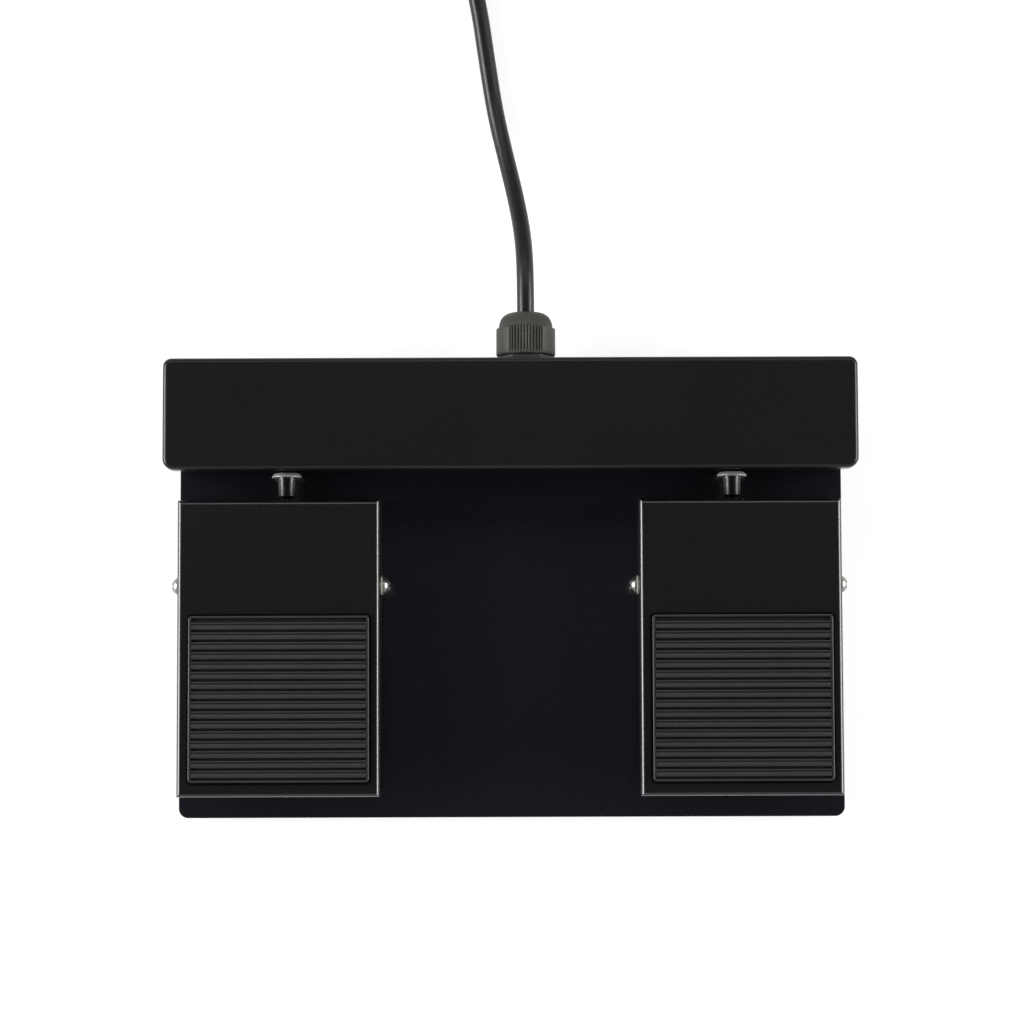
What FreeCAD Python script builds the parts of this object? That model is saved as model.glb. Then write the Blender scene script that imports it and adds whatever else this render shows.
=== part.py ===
import FreeCAD, Part
import math
import os
import re
import Sketcher

# Twin foot pedal: two hinged sheet-steel pedals on a flat base plate, a switch housing behind
# them, and one shared cable that ends in a jack plug.
# Millimetres. X is to the right, Y to the rear (towards the cable), Z up, and the rubber feet
# stand on Z = 0. The origin is below the middle of the unit, from base front to gland end.

DRIVING_SIZES = (
    ("foot_height", 4.0, "rubber feet, floor to base plate"),
    ("foot_radius", 7.0, "rubber feet"),
    ("foot_side", 98.0, "rubber feet, out from the middle"),
    ("foot_front", -70.0, "front feet"),
    ("foot_rear", 50.0, "rear feet"),
    ("foot_edge", 1.0, "rounding of the feet at the floor"),
    ("foot_recess", 2.6, "depth of the recess for a foot's screw head"),
    ("recess_radius", 3.4, "recess for a foot's screw head"),
    ("foot_screw", 6.8, "length of the foot screws under their heads"),
    ("base_width", 224.0, "base plate, side to side"),
    ("base_front", -84.2, "front edge of the base plate"),
    ("base_rear", 65.1, "rear edge of the base plate"),
    ("base_thick", 2.0, "base plate sheet"),
    ("base_corner", 3.2, "corner radius of the base plate"),
    ("stem_radius", 2.0, "stems of the spring seats and bump stops"),
    ("stem_hole", 2.1, "holes for those stems"),
    ("cover_width", 229.0, "housing cover, outside"),
    ("cover_front", 30.5, "outer face of the cover's front wall"),
    ("cover_rear", 67.4, "outer face of the cover's rear wall"),
    ("cover_top", 39.0, "top of the cover"),
    ("cover_lip", 32.6, "lower edge of the cover's front and side walls"),
    ("cover_skirt", 4.2, "lower edge of the cover's rear wall"),
    ("cover_wall", 1.5, "cover and front panel sheet"),
    ("cover_front_corner", 3.7, "upright front corners of the cover"),
    ("cover_rear_corner", 2.8, "upright rear corners of the cover"),
    ("cover_edge", 1.6, "bend round the top of the cover"),
    ("panel_front", 32.1, "outer face of the front panel, just inside the cover"),
    ("panel_half", 112.0, "front panel, out from the middle"),
    ("skirt_gap", 0.3, "the side walls' cut ends this far short of the rear wall"),
    ("panel_top", 37.4, "top of the front panel"),
    ("panel_bend", 2.5, "upright bends of the front panel"),
    ("post_radius", 3.0, "cover posts"),
    ("post_side", 106.5, "cover posts, out from the middle"),
    ("post_front", 39.0, "front cover posts"),
    ("post_rear", 60.0, "rear cover posts"),
    ("post_screw", 8.0, "length of the cover screws, and depth of the posts' threads"),
    ("pedal_centre", 76.6, "middle of each pedal, out from the middle between the pedals"),
    ("sideways", -0.45, "middle between the pedals, right of the middle of the base plate"),
    ("pedal_width", 67.0, "pedal, outside"),
    ("pedal_front", -76.9, "front edge of the pedals"),
    ("pedal_rear", 21.1, "rear edge of the pedals' top"),
    ("pedal_top", 28.0, "top of the pedals at rest"),
    ("pedal_sheet", 1.2, "pedal sheet"),
    ("pedal_bend", 1.4, "outer bend radius of the pedals"),
    ("pedal_lip", 9.0, "depth of the pedals' front flange"),
    ("pedal_low", 6.8, "lowest edge of the pedals' flanges"),
    ("pedal_taper", -9.7, "where the side flanges start to rise"),
    ("rear_lean", 5.0, "lean of the rear flange, in degrees"),
    ("pivot_back", -6.7, "pivot axis, front to rear"),
    ("pivot_height", 16.0, "pivot axis above the floor"),
    ("mat_width", 59.5, "tread mat"),
    ("mat_sideways", 0.3, "middle of the mats, right of the pedals' middles"),
    ("mat_front", -72.1, "front edge of the mats"),
    ("mat_rear", -17.3, "rear edge of the mats"),
    ("mat_thick", 2.2, "tread mat"),
    ("mat_rim", 0.9, "plain rim round the mat"),
    ("mat_corner", 0.8, "corner radius of the mat"),
    ("groove_pitch", 3.25, "from groove to groove of the mat"),
    ("groove_width", 0.85, "mat groove"),
    ("groove_depth", 1.3, "mat groove"),
    ("groove_count", 17, "grooves of the mat"),
    ("bracket_width", 62.8, "pivot bracket, outside its ears"),
    ("bracket_depth", 18.0, "pivot bracket, front to rear"),
    ("bracket_sheet", 2.0, "pivot bracket sheet"),
    ("bracket_top", 21.5, "top of the bracket's ears"),
    ("bracket_round", 5.0, "corner radius of the bracket's ears"),
    ("bracket_bore", 1.6, "radius of the bracket's holes"),
    ("rivet_side", 20.0, "bracket rivets, out from the pedal's middle"),
    ("rivet_back", 5.0, "bracket rivets, out from the pivot axis"),
    ("rivet_radius", 2.6, "rivet head"),
    ("rivet_height", 1.2, "rivet head"),
    ("rivet_round", 0.8, "rounding of the rivet heads"),
    ("bush_outer", 2.5, "pivot bush radius"),
    ("bush_bore", 1.55, "bore radius of the pivot bushes"),
    ("bush_brim", 3.1, "radius of the pivot bush's flange"),
    ("bush_fit", 0.05, "running clearance round the pivot bushes and plungers"),
    ("bush_reach", 33.65, "outer end of the pivot bush's barrel from the pedal's middle"),
    ("bush_flange", 0.4, "pivot bush flange"),
    ("washer_thick", 0.5, "pivot washer"),
    ("washer_radius", 3.0, "pivot washer"),
    ("washer_bore", 1.6, "bore radius of the pivot washers"),
    ("pivot_screw", 8.5, "length of the pivot screws under their heads"),
    ("screw_shank", 1.45, "shank radius of the three-millimetre screws"),
    ("screw_thread", 1.5, "thread radius of the three-millimetre screws' nuts and posts"),
    ("screw_hole", 1.7, "clearance hole of the three-millimetre screws"),
    ("sunk_hole", 1.65, "hole of the countersunk screws and rivets"),
    ("pan_radius", 2.8, "pan head radius"),
    ("pan_height", 2.0, "pan head"),
    ("pan_round", 1.1, "rounding of the pan heads"),
    ("cross_arm", 3.0, "cross recess, tip to tip"),
    ("cross_slot", 0.55, "width of the cross recess"),
    ("cross_depth", 1.0, "cross recess"),
    ("sink_radius", 2.8, "countersunk head radius"),
    ("sink_height", 1.3, "countersunk head"),
    ("sink_inset", 0.05, "countersunk heads, above the underside of the base plate"),
    ("slot_width", 0.8, "slot of the countersunk heads"),
    ("slot_depth", 0.7, "slot of the countersunk and switch screw heads"),
    ("nut_flats", 5.5, "small nuts across flats"),
    ("nut_height", 2.4, "small nuts"),
    ("plunger_side", 75.0, "plungers, out from the middle between the pedals"),
    ("plunger_height", 12.0, "plunger axis above the floor"),
    ("plunger_radius", 3.3, "plunger"),
    ("plunger_tip", 22.8, "front end of the plungers"),
    ("plunger_dome", 5.0, "radius of the plungers' domed ends"),
    ("plunger_nose", 2.0, "length of the plungers' ends"),
    ("plunger_step", 43.2, "where the plunger narrows to its tail"),
    ("plunger_end", 49.5, "rear end of the plunger's tail"),
    ("tail_radius", 1.6, "plunger's tail"),
    ("bezel_front", 30.0, "front face of the plunger bush"),
    ("bezel_radius", 5.0, "flange of the plunger bush"),
    ("bezel_thick", 1.35, "flange of the plunger bush"),
    ("bezel_round", 0.3, "rounding of the plunger bush's flange"),
    ("neck_radius", 4.5, "plunger bush between its flange and the front panel"),
    ("barrel_radius", 4.0, "threaded barrel of the plunger bush"),
    ("barrel_end", 38.6, "rear end of the plunger bush"),
    ("bush_nut_flats", 10.0, "plunger bush nut across flats"),
    ("bush_nut_height", 2.5, "plunger bush nut"),
    ("clip_front", 39.0, "plunger retaining clip"),
    ("clip_thick", 0.7, "plunger retaining clip"),
    ("clip_radius", 4.6, "plunger retaining clip"),
    ("clip_bite", 0.5, "depth of the clip's groove in the plunger"),
    ("clip_play", 0.05, "play of the clip in its groove, front and rear"),
    ("clip_gap", 3.6, "opening of the clip"),
    ("carrier_front", 44.5, "switch carrier"),
    ("carrier_rear", 63.0, "switch carrier"),
    ("carrier_half", 16.0, "half the width of the switch carrier"),
    ("carrier_wall", 1.6, "front wall of the switch carrier"),
    ("guide_width", 14.0, "front wall of the switch carrier"),
    ("guide_height", 10.0, "front wall of the switch carrier"),
    ("rib_thick", 1.5, "ribs of the switch carrier"),
    ("rib_depth", 5.0, "ribs of the switch carrier"),
    ("rib_rise", 3.0, "ribs of the switch carrier, above its floor"),
    ("carrier_screw_side", 13.0, "carrier screws, out from the plunger axis"),
    ("carrier_screw_back", 57.0, "carrier screws"),
    ("carrier_screw", 4.7, "length of the carrier screws"),
    ("switch_width", 19.8, "snap-action switch"),
    ("switch_front", 51.2, "snap-action switch"),
    ("switch_depth", 10.2, "snap-action switch"),
    ("switch_thick", 6.4, "snap-action switch"),
    ("switch_screw_side", 4.75, "switch screws, out from the plunger axis"),
    ("switch_screw_back", 57.5, "switch screws"),
    ("switch_screw", 8.2, "length of the switch screws under their heads"),
    ("switch_shank", 1.0, "shank radius of the switch screws"),
    ("switch_thread", 1.05, "holes in the carrier for the switch screws"),
    ("switch_hole", 1.15, "holes in the switch for its screws"),
    ("switch_head", 2.0, "head radius of the switch screws"),
    ("switch_head_height", 1.4, "heads of the switch screws"),
    ("switch_slot", 0.5, "slots of the switch screws"),
    ("pocket_width", 3.2, "pocket for the switch button"),
    ("pocket_depth", 4.5, "pocket for the switch button"),
    ("pocket_height", 2.8, "pocket for the switch button"),
    ("button_front", 49.65, "front face of the switch button"),
    ("button_length", 2.9, "switch button"),
    ("button_width", 3.0, "switch button"),
    ("button_height", 2.6, "switch button"),
    ("terminal_end", 64.8, "rear end of the switch terminals"),
    ("terminal_thick", 0.5, "switch terminals"),
    ("terminal_height", 3.2, "switch terminals"),
    ("terminal_pitch", 7.0, "from terminal to terminal"),
    ("spring_back", -38.0, "return springs"),
    ("spring_radius", 4.5, "return spring, to the middle of its wire"),
    ("spring_wire", 0.5, "return spring wire radius"),
    ("spring_pitch", 3.0, "return spring"),
    ("spring_gap", 0.15, "free gap between the return spring and its cap"),
    ("seat_thick", 1.5, "spring seat"),
    ("seat_radius", 7.0, "spring seat"),
    ("seat_peg", 4.0, "peg of the spring seat"),
    ("cap_thick", 1.2, "spring cap"),
    ("cap_radius", 6.5, "spring cap"),
    ("cap_peg", 3.0, "peg of the spring cap"),
    ("peg_radius", 3.2, "pegs inside the return springs"),
    ("bump_back", -60.0, "bump stops"),
    ("bump_height", 13.3, "bump stops"),
    ("bump_foot", 6.5, "radius of the bump stops at the base plate"),
    ("bump_tip", 5.0, "radius of the bump stops at their tops"),
    ("rest_width", 40.0, "rest pads under the pedals' rear flanges"),
    ("rest_depth", 8.0, "rest pads, front to rear"),
    ("rest_front", 14.2, "front edge of the rest pads"),
    ("rest_thick", 0.5, "rest pads"),
    ("gland_side", 5.2, "gland and cable, right of the middle"),
    ("gland_height", 22.0, "gland axis above the floor"),
    ("gland_flats", 17.0, "gland body across flats"),
    ("gland_hex_radius", 9.6, "radius that the gland body's hexagon is turned down to"),
    ("gland_thread", 7.6, "radius of the gland's thread"),
    ("gland_edge", 0.5, "rounding of the gland hexagon's corners"),
    ("gland_fit", 0.1, "clearance round the gland's thread in the cover"),
    ("gland_front", 59.6, "front end of the gland's thread"),
    ("gland_bore", 3.6, "radius of the gland's bore"),
    ("gland_seat", 68.1, "front face of the gland's hexagon"),
    ("gland_nut_front", 69.6, "front face of the dome nut"),
    ("gland_ring", 9.3, "radius of the gland's sealing washer"),
    ("gland_collar", 6.8, "radius of the gland body inside the dome nut"),
    ("collar_length", 2.4, "gland body inside the dome nut"),
    ("lock_flats", 18.5, "gland lock nut across flats"),
    ("lock_height", 4.5, "gland lock nut"),
    ("gland_shoulder", 79.0, "shoulder of the dome nut"),
    ("gland_end", 84.2, "rear end of the dome nut"),
    ("dome_radius", 9.9, "ribbed part of the dome nut"),
    ("dome_step", 8.95, "dome behind the shoulder"),
    ("dome_round", 4.8, "rounding of the dome"),
    ("room_radius", 7.0, "room inside the dome nut"),
    ("room_depth", 4.2, "room inside the dome nut"),
    ("throat_radius", 5.2, "space for the seal in the dome nut"),
    ("throat_depth", 6.0, "space for the seal in the dome nut"),
    ("mouth_radius", 3.5, "rear opening of the dome nut"),
    ("seal_radius", 5.1, "cable seal"),
    ("seal_length", 5.9, "cable seal"),
    ("seal_play", 0.05, "play in front of the cable seal"),
    ("lip_radius", 3.4, "lip of the cable seal"),
    ("lip_front", 79.6, "where the cable seal narrows to its lip"),
    ("lip_inset", 0.4, "lip of the cable seal, inside the dome nut's end"),
    ("cable_radius", 2.9, "cable jacket"),
    ("jacket_end", 50.0, "inner end of the cable jacket"),
    ("strain_front", 55.0, "cable tie round the inner cable"),
    ("strain_width", 3.0, "cable tie round the inner cable"),
    ("strain_thick", 1.1, "cable tie round the inner cable"),
    ("strain_lock", 4.0, "lock of that cable tie"),
    ("lock_rise", 3.2, "lock of that cable tie"),
    ("lock_sink", 0.6, "lock of that cable tie, out from the jacket"),
    ("wire_radius", 0.7, "insulated switch wires"),
    ("wire_apart", 1.1, "wires at the jacket's end, out from its axis"),
    ("coil_side", 27.0, "middle of the cable coil"),
    ("coil_back", 252.0, "middle of the cable coil"),
    ("coil_turn", 45.0, "outer turn of the coil, to the middle of the cable"),
    ("coil_inner", 24.3, "inner turn of the coil, to the middle of the cable"),
    ("coil_low", 0.8, "underside of the coil, which lies on its tie"),
    ("coil_layers", 2, "layers of turns"),
    ("tie_width", 10.0, "coil tie"),
    ("tie_thick", 0.7, "coil tie"),
    ("tie_play", 0.05, "play of the coil tie, above and below the coil"),
    ("tie_slack", 0.8, "play of the coil tie inside the coil"),
    ("tie_outer_play", 0.1, "play of the coil tie outside the coil"),
    ("plug_start", 44.0, "where the cable enters the plug's boot"),
    ("plug_back", 308.4, "plug axis"),
    ("plug_height", 7.0, "plug axis above the floor"),
    ("boot_length", 18.0, "plug boot"),
    ("handle_length", 34.0, "plug handle"),
    ("handle_radius", 6.9, "plug handle"),
    ("handle_edge", 1.2, "rounding of the plug handle's ends"),
    ("boot_wall", 1.1, "plug boot where the cable enters"),
    ("boot_end", 5.2, "radius of the plug boot at the handle"),
    ("sleeve_collar", 4.6, "collar of the plug sleeve"),
    ("sleeve_collar_length", 2.0, "collar of the plug sleeve"),
    ("sleeve_length", 17.5, "plug sleeve contact"),
    ("contact_radius", 3.175, "plug contacts"),
    ("insulator", 1.2, "plug insulators"),
    ("ring_length", 3.5, "plug ring contact"),
    ("tip_back", 3.0, "plug tip, back to its waist"),
    ("tip_swell", 1.2, "plug tip, waist to its widest"),
    ("tip_nose", 3.4, "plug tip, widest to its end"),
    ("tip_waist", 2.2, "radius of the plug tip's waist"),
    ("tip_end", 1.0, "radius of the plug tip's end"),
)

doc = FreeCAD.newDocument("TwinFootPedal")
sheet = doc.addObject("Spreadsheet::Sheet", "Sizes")
for row, (alias, value, meaning) in enumerate(DRIVING_SIZES, start=1):
    sheet.set(f"A{row}", meaning)
    sheet.set(f"B{row}", str(value))
    sheet.setAlias(f"B{row}", alias)
doc.recompute()

SIZE = {alias: value for alias, value, meaning in DRIVING_SIZES}
SIDES = (("left", -1), ("right", 1))
X_AXIS = FreeCAD.Vector(1, 0, 0)
Y_AXIS = FreeCAD.Vector(0, 1, 0)
Z_AXIS = FreeCAD.Vector(0, 0, 1)
TURN_TO = {
    "+z": FreeCAD.Rotation(Z_AXIS, 0),
    "-z": FreeCAD.Rotation(X_AXIS, 180),
    "+y": FreeCAD.Rotation(X_AXIS, -90),
    "+x": FreeCAD.Rotation(Y_AXIS, 90),
    "-x": FreeCAD.Rotation(Y_AXIS, -90),
}
BASE_TOP = "(foot_height + base_thick)"
SHELF = "(plunger_height - switch_thick / 2)"
nodes = []


def on_sheet(text):
    """The same formula with each size read from the sheet."""
    return re.sub(r"[a-z_]+", lambda word: ("Sizes." if word.group() in SIZE else "") + word.group(), text)


def bind(thing, **formulas):
    for name, text in formulas.items():
        thing.setExpression(name, on_sheet(text))
    return thing


def place(thing, x, y, z, way="+z"):
    """Puts a primitive at a point, with its own Z axis turned along the row axis named by way."""
    thing.Placement = FreeCAD.Placement(FreeCAD.Vector(), TURN_TO[way])
    for axis, text in (("x", x), ("y", y), ("z", z)):
        thing.setExpression(f"Placement.Base.{axis}", on_sheet(text))
    return thing


def box(name, size, corner):
    block = doc.addObject("Part::Box", name)
    bind(block, Length=size[0], Width=size[1], Height=size[2])
    return place(block, *corner)


def rod(name, radius, length, start, way="+z"):
    cylinder = doc.addObject("Part::Cylinder", name)
    bind(cylinder, Radius=radius, Height=length)
    return place(cylinder, *start, way)


def cone(name, radius_at_start, radius_at_end, length, start, way="+z"):
    taper = doc.addObject("Part::Cone", name)
    bind(taper, Radius1=radius_at_start, Radius2=radius_at_end, Height=length)
    return place(taper, *start, way)


def hexagon(name, flats, thick, start, way="+z"):
    prism = doc.addObject("Part::Prism", name)
    prism.Polygon = 6
    bind(prism, Circumradius=f"{flats} / sqrt(3)", Height=thick)
    return place(prism, *start, way)


def fuse(name, *pieces):
    joined = doc.addObject("Part::MultiFuse", name)
    joined.Shapes = list(pieces)
    return joined


def cut(name, base, *tools):
    cutter = tools[0] if len(tools) == 1 else fuse(name + "_cutter", *tools)
    rest = doc.addObject("Part::Cut", name)
    rest.Base = base
    rest.Tool = cutter
    return rest


def group(name, pieces):
    """Identical separate pieces that share one node."""
    several = doc.addObject("Part::Compound", name)
    several.Links = list(pieces)
    return several


def rounded(name, base, radius, wanted):
    """Rounds the edges for which wanted(edge) is true."""
    doc.recompute()
    edges = [i for i, edge in enumerate(base.Shape.Edges, start=1) if wanted(edge)]
    fillet = doc.addObject("Part::Fillet", name)
    fillet.Base = base
    fillet.Edges = [(i, radius, radius) for i in edges]
    return fillet


def node(label, thing):
    """Marks a finished sub-part. Its label names its file."""
    thing.Label = label
    nodes.append(thing)
    return thing


def plane_of(body, role):
    return next(plane for plane in body.Origin.OriginFeatures if plane.Role == role)


def new_sketch(body, name, role, offset=None):
    sketch = body.newObject("Sketcher::SketchObject", name)
    sketch.AttachmentSupport = (plane_of(body, role), [""])
    sketch.MapMode = "FlatFace"
    if offset:
        sketch.setExpression("AttachmentOffset.Base.z", on_sheet(offset))
    return sketch


def pin_point(sketch, shape, point, x, y):
    """Fixes one point of a sketch shape to the sketch's origin by two sized constraints."""
    for kind, text in (("DistanceX", x), ("DistanceY", y)):
        number = sketch.addConstraint(Sketcher.Constraint(kind, -1, 1, shape, point, 1.0))
        sketch.setExpression(f"Constraints[{number}]", on_sheet(text))


def outline(sketch, corners):
    """A closed outline of straight lines through corners, each a pair of formulas."""
    count = len(corners)
    for i in range(count):
        a, b = FreeCAD.Vector(i, i * i, 0), FreeCAD.Vector(i + 1, (i + 1) ** 2, 0)
        sketch.addGeometry(Part.LineSegment(a, b), False)
    for i in range(count):
        sketch.addConstraint(Sketcher.Constraint("Coincident", i, 2, (i + 1) % count, 1))
    for i, (x, y) in enumerate(corners):
        pin_point(sketch, i, 1, x, y)


def rectangle(half, front, rear):
    """The corners of a rectangle that is as wide to the left as to the right."""
    return [(f"-{half}", front), (half, front), (half, rear), (f"-{half}", rear)]


def circles(sketch, places, radius):
    """Equal circles at places, each a pair of formulas."""
    for x, y in places:
        number = sketch.addGeometry(Part.Circle(FreeCAD.Vector(1, 1, 0), Z_AXIS, 1.0), False)
        size = sketch.addConstraint(Sketcher.Constraint("Radius", number, 1.0))
        sketch.setExpression(f"Constraints[{size}]", on_sheet(radius))
        pin_point(sketch, number, 3, x, y)


def pad(body, name, sketch, length, midplane=False):
    block = body.newObject("PartDesign::Pad", name)
    block.Profile = sketch
    block.SideType = "Symmetric" if midplane else "One side"
    return bind(block, Length=length)


def through(body, name, sketch):
    """Cuts a sketch right through the body, both ways."""
    pocket = body.newObject("PartDesign::Pocket", name)
    pocket.Profile = sketch
    pocket.SideType = "Symmetric"
    pocket.Type = "ThroughAll"
    return pocket


def dress(body, kind, name, base, wanted, **formulas):
    """A fillet or chamfer on the edges of base for which wanted(edge) is true."""
    doc.recompute()
    edges = [f"Edge{i}" for i, edge in enumerate(base.Shape.Edges, start=1) if wanted(edge)]
    feature = body.newObject("PartDesign::" + kind, name)
    feature.Base = (base, edges)
    return bind(feature, **formulas)


def upright(edge):
    ends = [vertex.Point for vertex in edge.Vertexes]
    return len(ends) == 2 and math.hypot(ends[0].x - ends[1].x, ends[0].y - ends[1].y) < 1e-6


def level_at(height):
    return lambda edge: all(abs(vertex.Point.z - height) < 1e-6 for vertex in edge.Vertexes)


def pedal_middle(sign):
    return f"({sign} * pedal_centre + sideways)"


def plunger_middle(sign):
    return f"({sign} * plunger_side + sideways)"


# ---------------------------------------------------------------- base plate and its fasteners

FEET = [(f"{x} * foot_side", y) for x in (-1, 1) for y in ("foot_front", "foot_rear")]
POSTS = [(f"{x} * post_side", y) for x in (-1, 1) for y in ("post_front", "post_rear")]
CARRIER_SCREWS = [
    (f"{plunger_middle(side)} + {x} * carrier_screw_side", "carrier_screw_back")
    for side in (-1, 1)
    for x in (-1, 1)
]
RIVETS = [
    (f"{pedal_middle(side)} + {x} * rivet_side", f"pivot_back + {y} * rivet_back")
    for side in (-1, 1)
    for x in (-1, 1)
    for y in (-1, 1)
]
SPRINGS = [(pedal_middle(side), "spring_back") for side in (-1, 1)]
BUMPS = [(pedal_middle(side), "bump_back") for side in (-1, 1)]


def base_plate():
    body = doc.addObject("PartDesign::Body", "BasePlate")
    flat = new_sketch(body, "BaseOutline", "XY_Plane")
    outline(flat, rectangle("base_width / 2", "base_front", "base_rear"))
    plate = pad(body, "BaseSheet", flat, "base_thick")
    dress(body, "Fillet", "BaseCorners", plate, upright, Radius="base_corner")
    doc.recompute()
    plain = new_sketch(body, "PlainHoles", "XY_Plane")
    circles(plain, FEET, "screw_hole")
    circles(plain, SPRINGS + BUMPS, "stem_hole")
    through(body, "PlainHoleCut", plain)
    sunk = new_sketch(body, "SunkHoles", "XY_Plane")
    circles(sunk, POSTS + CARRIER_SCREWS + RIVETS, "sunk_hole")
    holes = through(body, "SunkHoleCut", sunk)

    def sunk_rim(edge):
        round_edge = len(edge.Vertexes) == 1 and abs(edge.Curve.Radius - SIZE["sunk_hole"]) < 1e-6
        return round_edge and abs(edge.Vertexes[0].Point.z) < 1e-6

    dress(body, "Chamfer", "Countersinks", holes, sunk_rim, Size="sink_height")
    place(body, "0", "0", "foot_height")
    node("base_plate", body)


def pan_screw(name, length, start, way):
    """A pan-head screw with a cross recess. start is under the head, and way points to its tip."""
    x, y, z = start
    back = {"+z": "-z", "+x": "-x", "-x": "+x"}[way]
    head = rod(name + "_head", "pan_radius", "pan_height", start, back)
    dome = rounded(name + "_dome", head, SIZE["pan_round"], rim_away_from(name, back))
    shank = rod(name + "_shank", "screw_shank", length, start, way)
    whole = fuse(name + "_whole", dome, shank)
    arm, thin, deep = "cross_arm", "cross_slot", "cross_depth"
    sign = "+" if back[0] == "+" else "-"
    far = {"x": x, "y": y, "z": z}[back[1]] + f" {sign} (pan_height - {deep})"
    low = far if sign == "+" else f"{far} - {deep}"
    if back[1] == "x":
        blades = [
            box(name + "_blade_a", (deep, arm, thin), (low, f"{y} - {arm} / 2", f"{z} - {thin} / 2")),
            box(name + "_blade_b", (deep, thin, arm), (low, f"{y} - {thin} / 2", f"{z} - {arm} / 2")),
        ]
    else:
        blades = [
            box(name + "_blade_a", (arm, thin, deep), (f"{x} - {arm} / 2", f"{y} - {thin} / 2", low)),
            box(name + "_blade_b", (thin, arm, deep), (f"{x} - {thin} / 2", f"{y} - {arm} / 2", low)),
        ]
    return cut(name, whole, *blades)


def rim_away_from(name, back):
    """The rim of a head's free end, which lies furthest along the way that the head points."""
    sign = 1 if back[0] == "+" else -1
    axis = {"x": 0, "z": 2}[back[1]]

    def wanted(edge):
        solid = doc.getObject(name + "_head").Shape
        far_end = max(vertex.Point[axis] * sign for vertex in solid.Vertexes)
        at = edge.Vertexes[0].Point[axis] * sign
        return isinstance(edge.Curve, Part.Circle) and abs(at - far_end) < 1e-6

    return wanted


def sunk_screw(name, length, x, y):
    """A countersunk screw from below, flush with the base plate's underside."""
    start = (x, y, "foot_height + sink_inset")
    head = cone(name + "_head", "sink_radius", "screw_shank", "sink_height", start)
    shank = rod(name + "_shank", "screw_shank", f"{length} - sink_inset", start)
    corner = (f"{x} - sink_radius", f"{y} - slot_width / 2", "foot_height")
    slot = box(name + "_slot", ("2 * sink_radius", "slot_width", "slot_depth"), corner)
    return cut(name, fuse(name + "_whole", head, shank), slot)


def drilled(name, outer, bore, length, start, way="+z"):
    """A piece with a round bore along its axis."""
    return cut(name, outer, rod(name + "_bore", bore, length, start, way))


def small_nut(name, start, way="+z"):
    blank = hexagon(name + "_hex", "nut_flats", "nut_height", start, way)
    return drilled(name, blank, "screw_thread", "nut_height", start, way)


def feet():
    pads, screws, nuts = [], [], []
    for i, (x, y) in enumerate(FEET):
        block = rod(f"foot_block_{i}", "foot_radius", "foot_height", (x, y, "0"))
        edge = rounded(f"foot_round_{i}", block, SIZE["foot_edge"], level_at(0.0))
        recess = rod(f"foot_recess_{i}", "recess_radius", "foot_recess", (x, y, "0"))
        bore = rod(f"foot_bore_{i}", "screw_hole", "foot_height", (x, y, "0"))
        pads.append(cut(f"foot_{i}", edge, recess, bore))
        screws.append(pan_screw(f"foot_screw_{i}", "foot_screw", (x, y, "foot_recess"), "+z"))
        nuts.append(small_nut(f"foot_nut_{i}", (x, y, BASE_TOP)))
    node("rubber_feet", group("RubberFeet", pads))
    node("foot_screws", group("FootScrews", screws))
    node("foot_nuts", group("FootNuts", nuts))


# ------------------------------------------------------------------------- brackets and pivots


def pivot_brackets():
    for side, sign in SIDES:
        middle = pedal_middle(sign)
        left = f"{middle} - bracket_width / 2"
        front = "pivot_back - bracket_depth / 2"
        size = ("bracket_width", "bracket_depth", f"bracket_top - {BASE_TOP}")
        block = box(f"bracket_block_{side}", size, (left, front, BASE_TOP))

        def ear_corner(edge):
            ends = [vertex.Point for vertex in edge.Vertexes]
            at_top = all(abs(end.z - SIZE["bracket_top"]) < 1e-6 for end in ends)
            return at_top and abs(ends[0].y - ends[1].y) < 1e-6

        shaped = rounded(f"bracket_shape_{side}", block, SIZE["bracket_round"], ear_corner)
        room = box(
            f"bracket_room_{side}",
            ("bracket_width - 2 * bracket_sheet", "bracket_depth + 2", f"bracket_top - {BASE_TOP}"),
            (f"{left} + bracket_sheet", f"{front} - 1", f"{BASE_TOP} + bracket_sheet"),
        )
        pivot = (left, "pivot_back", "pivot_height")
        bore = rod(f"bracket_bore_{side}", "bracket_bore", "bracket_width", pivot, "+x")
        holes = [
            rod(f"bracket_hole_{side}_{i}", "bracket_bore", "bracket_sheet", (x, y, BASE_TOP))
            for i, (x, y) in enumerate(RIVETS)
            if x.startswith(middle)
        ]
        node(f"pivot_bracket_{side}", cut(f"PivotBracket_{side}", shaped, room, bore, *holes))


def bracket_rivets():
    rivets = []
    stack = ("foot_height", "base_thick", "bracket_sheet", "rivet_height")
    crown = sum(SIZE[name] for name in stack)
    for i, (x, y) in enumerate(RIVETS):
        top = f"{BASE_TOP} + bracket_sheet"
        low = (x, y, "foot_height + sink_inset")
        head = rod(f"rivet_head_{i}", "rivet_radius", "rivet_height", (x, y, top))
        dome = rounded(f"rivet_dome_{i}", head, SIZE["rivet_round"], level_at(crown))
        shank = rod(f"rivet_shank_{i}", "screw_shank", f"{top} - foot_height - sink_inset", low)
        flare = cone(f"rivet_flare_{i}", "sink_radius", "screw_shank", "sink_height", low)
        rivets.append(fuse(f"rivet_{i}", dome, shank, flare))
    node("bracket_rivets", group("BracketRivets", rivets))


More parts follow.
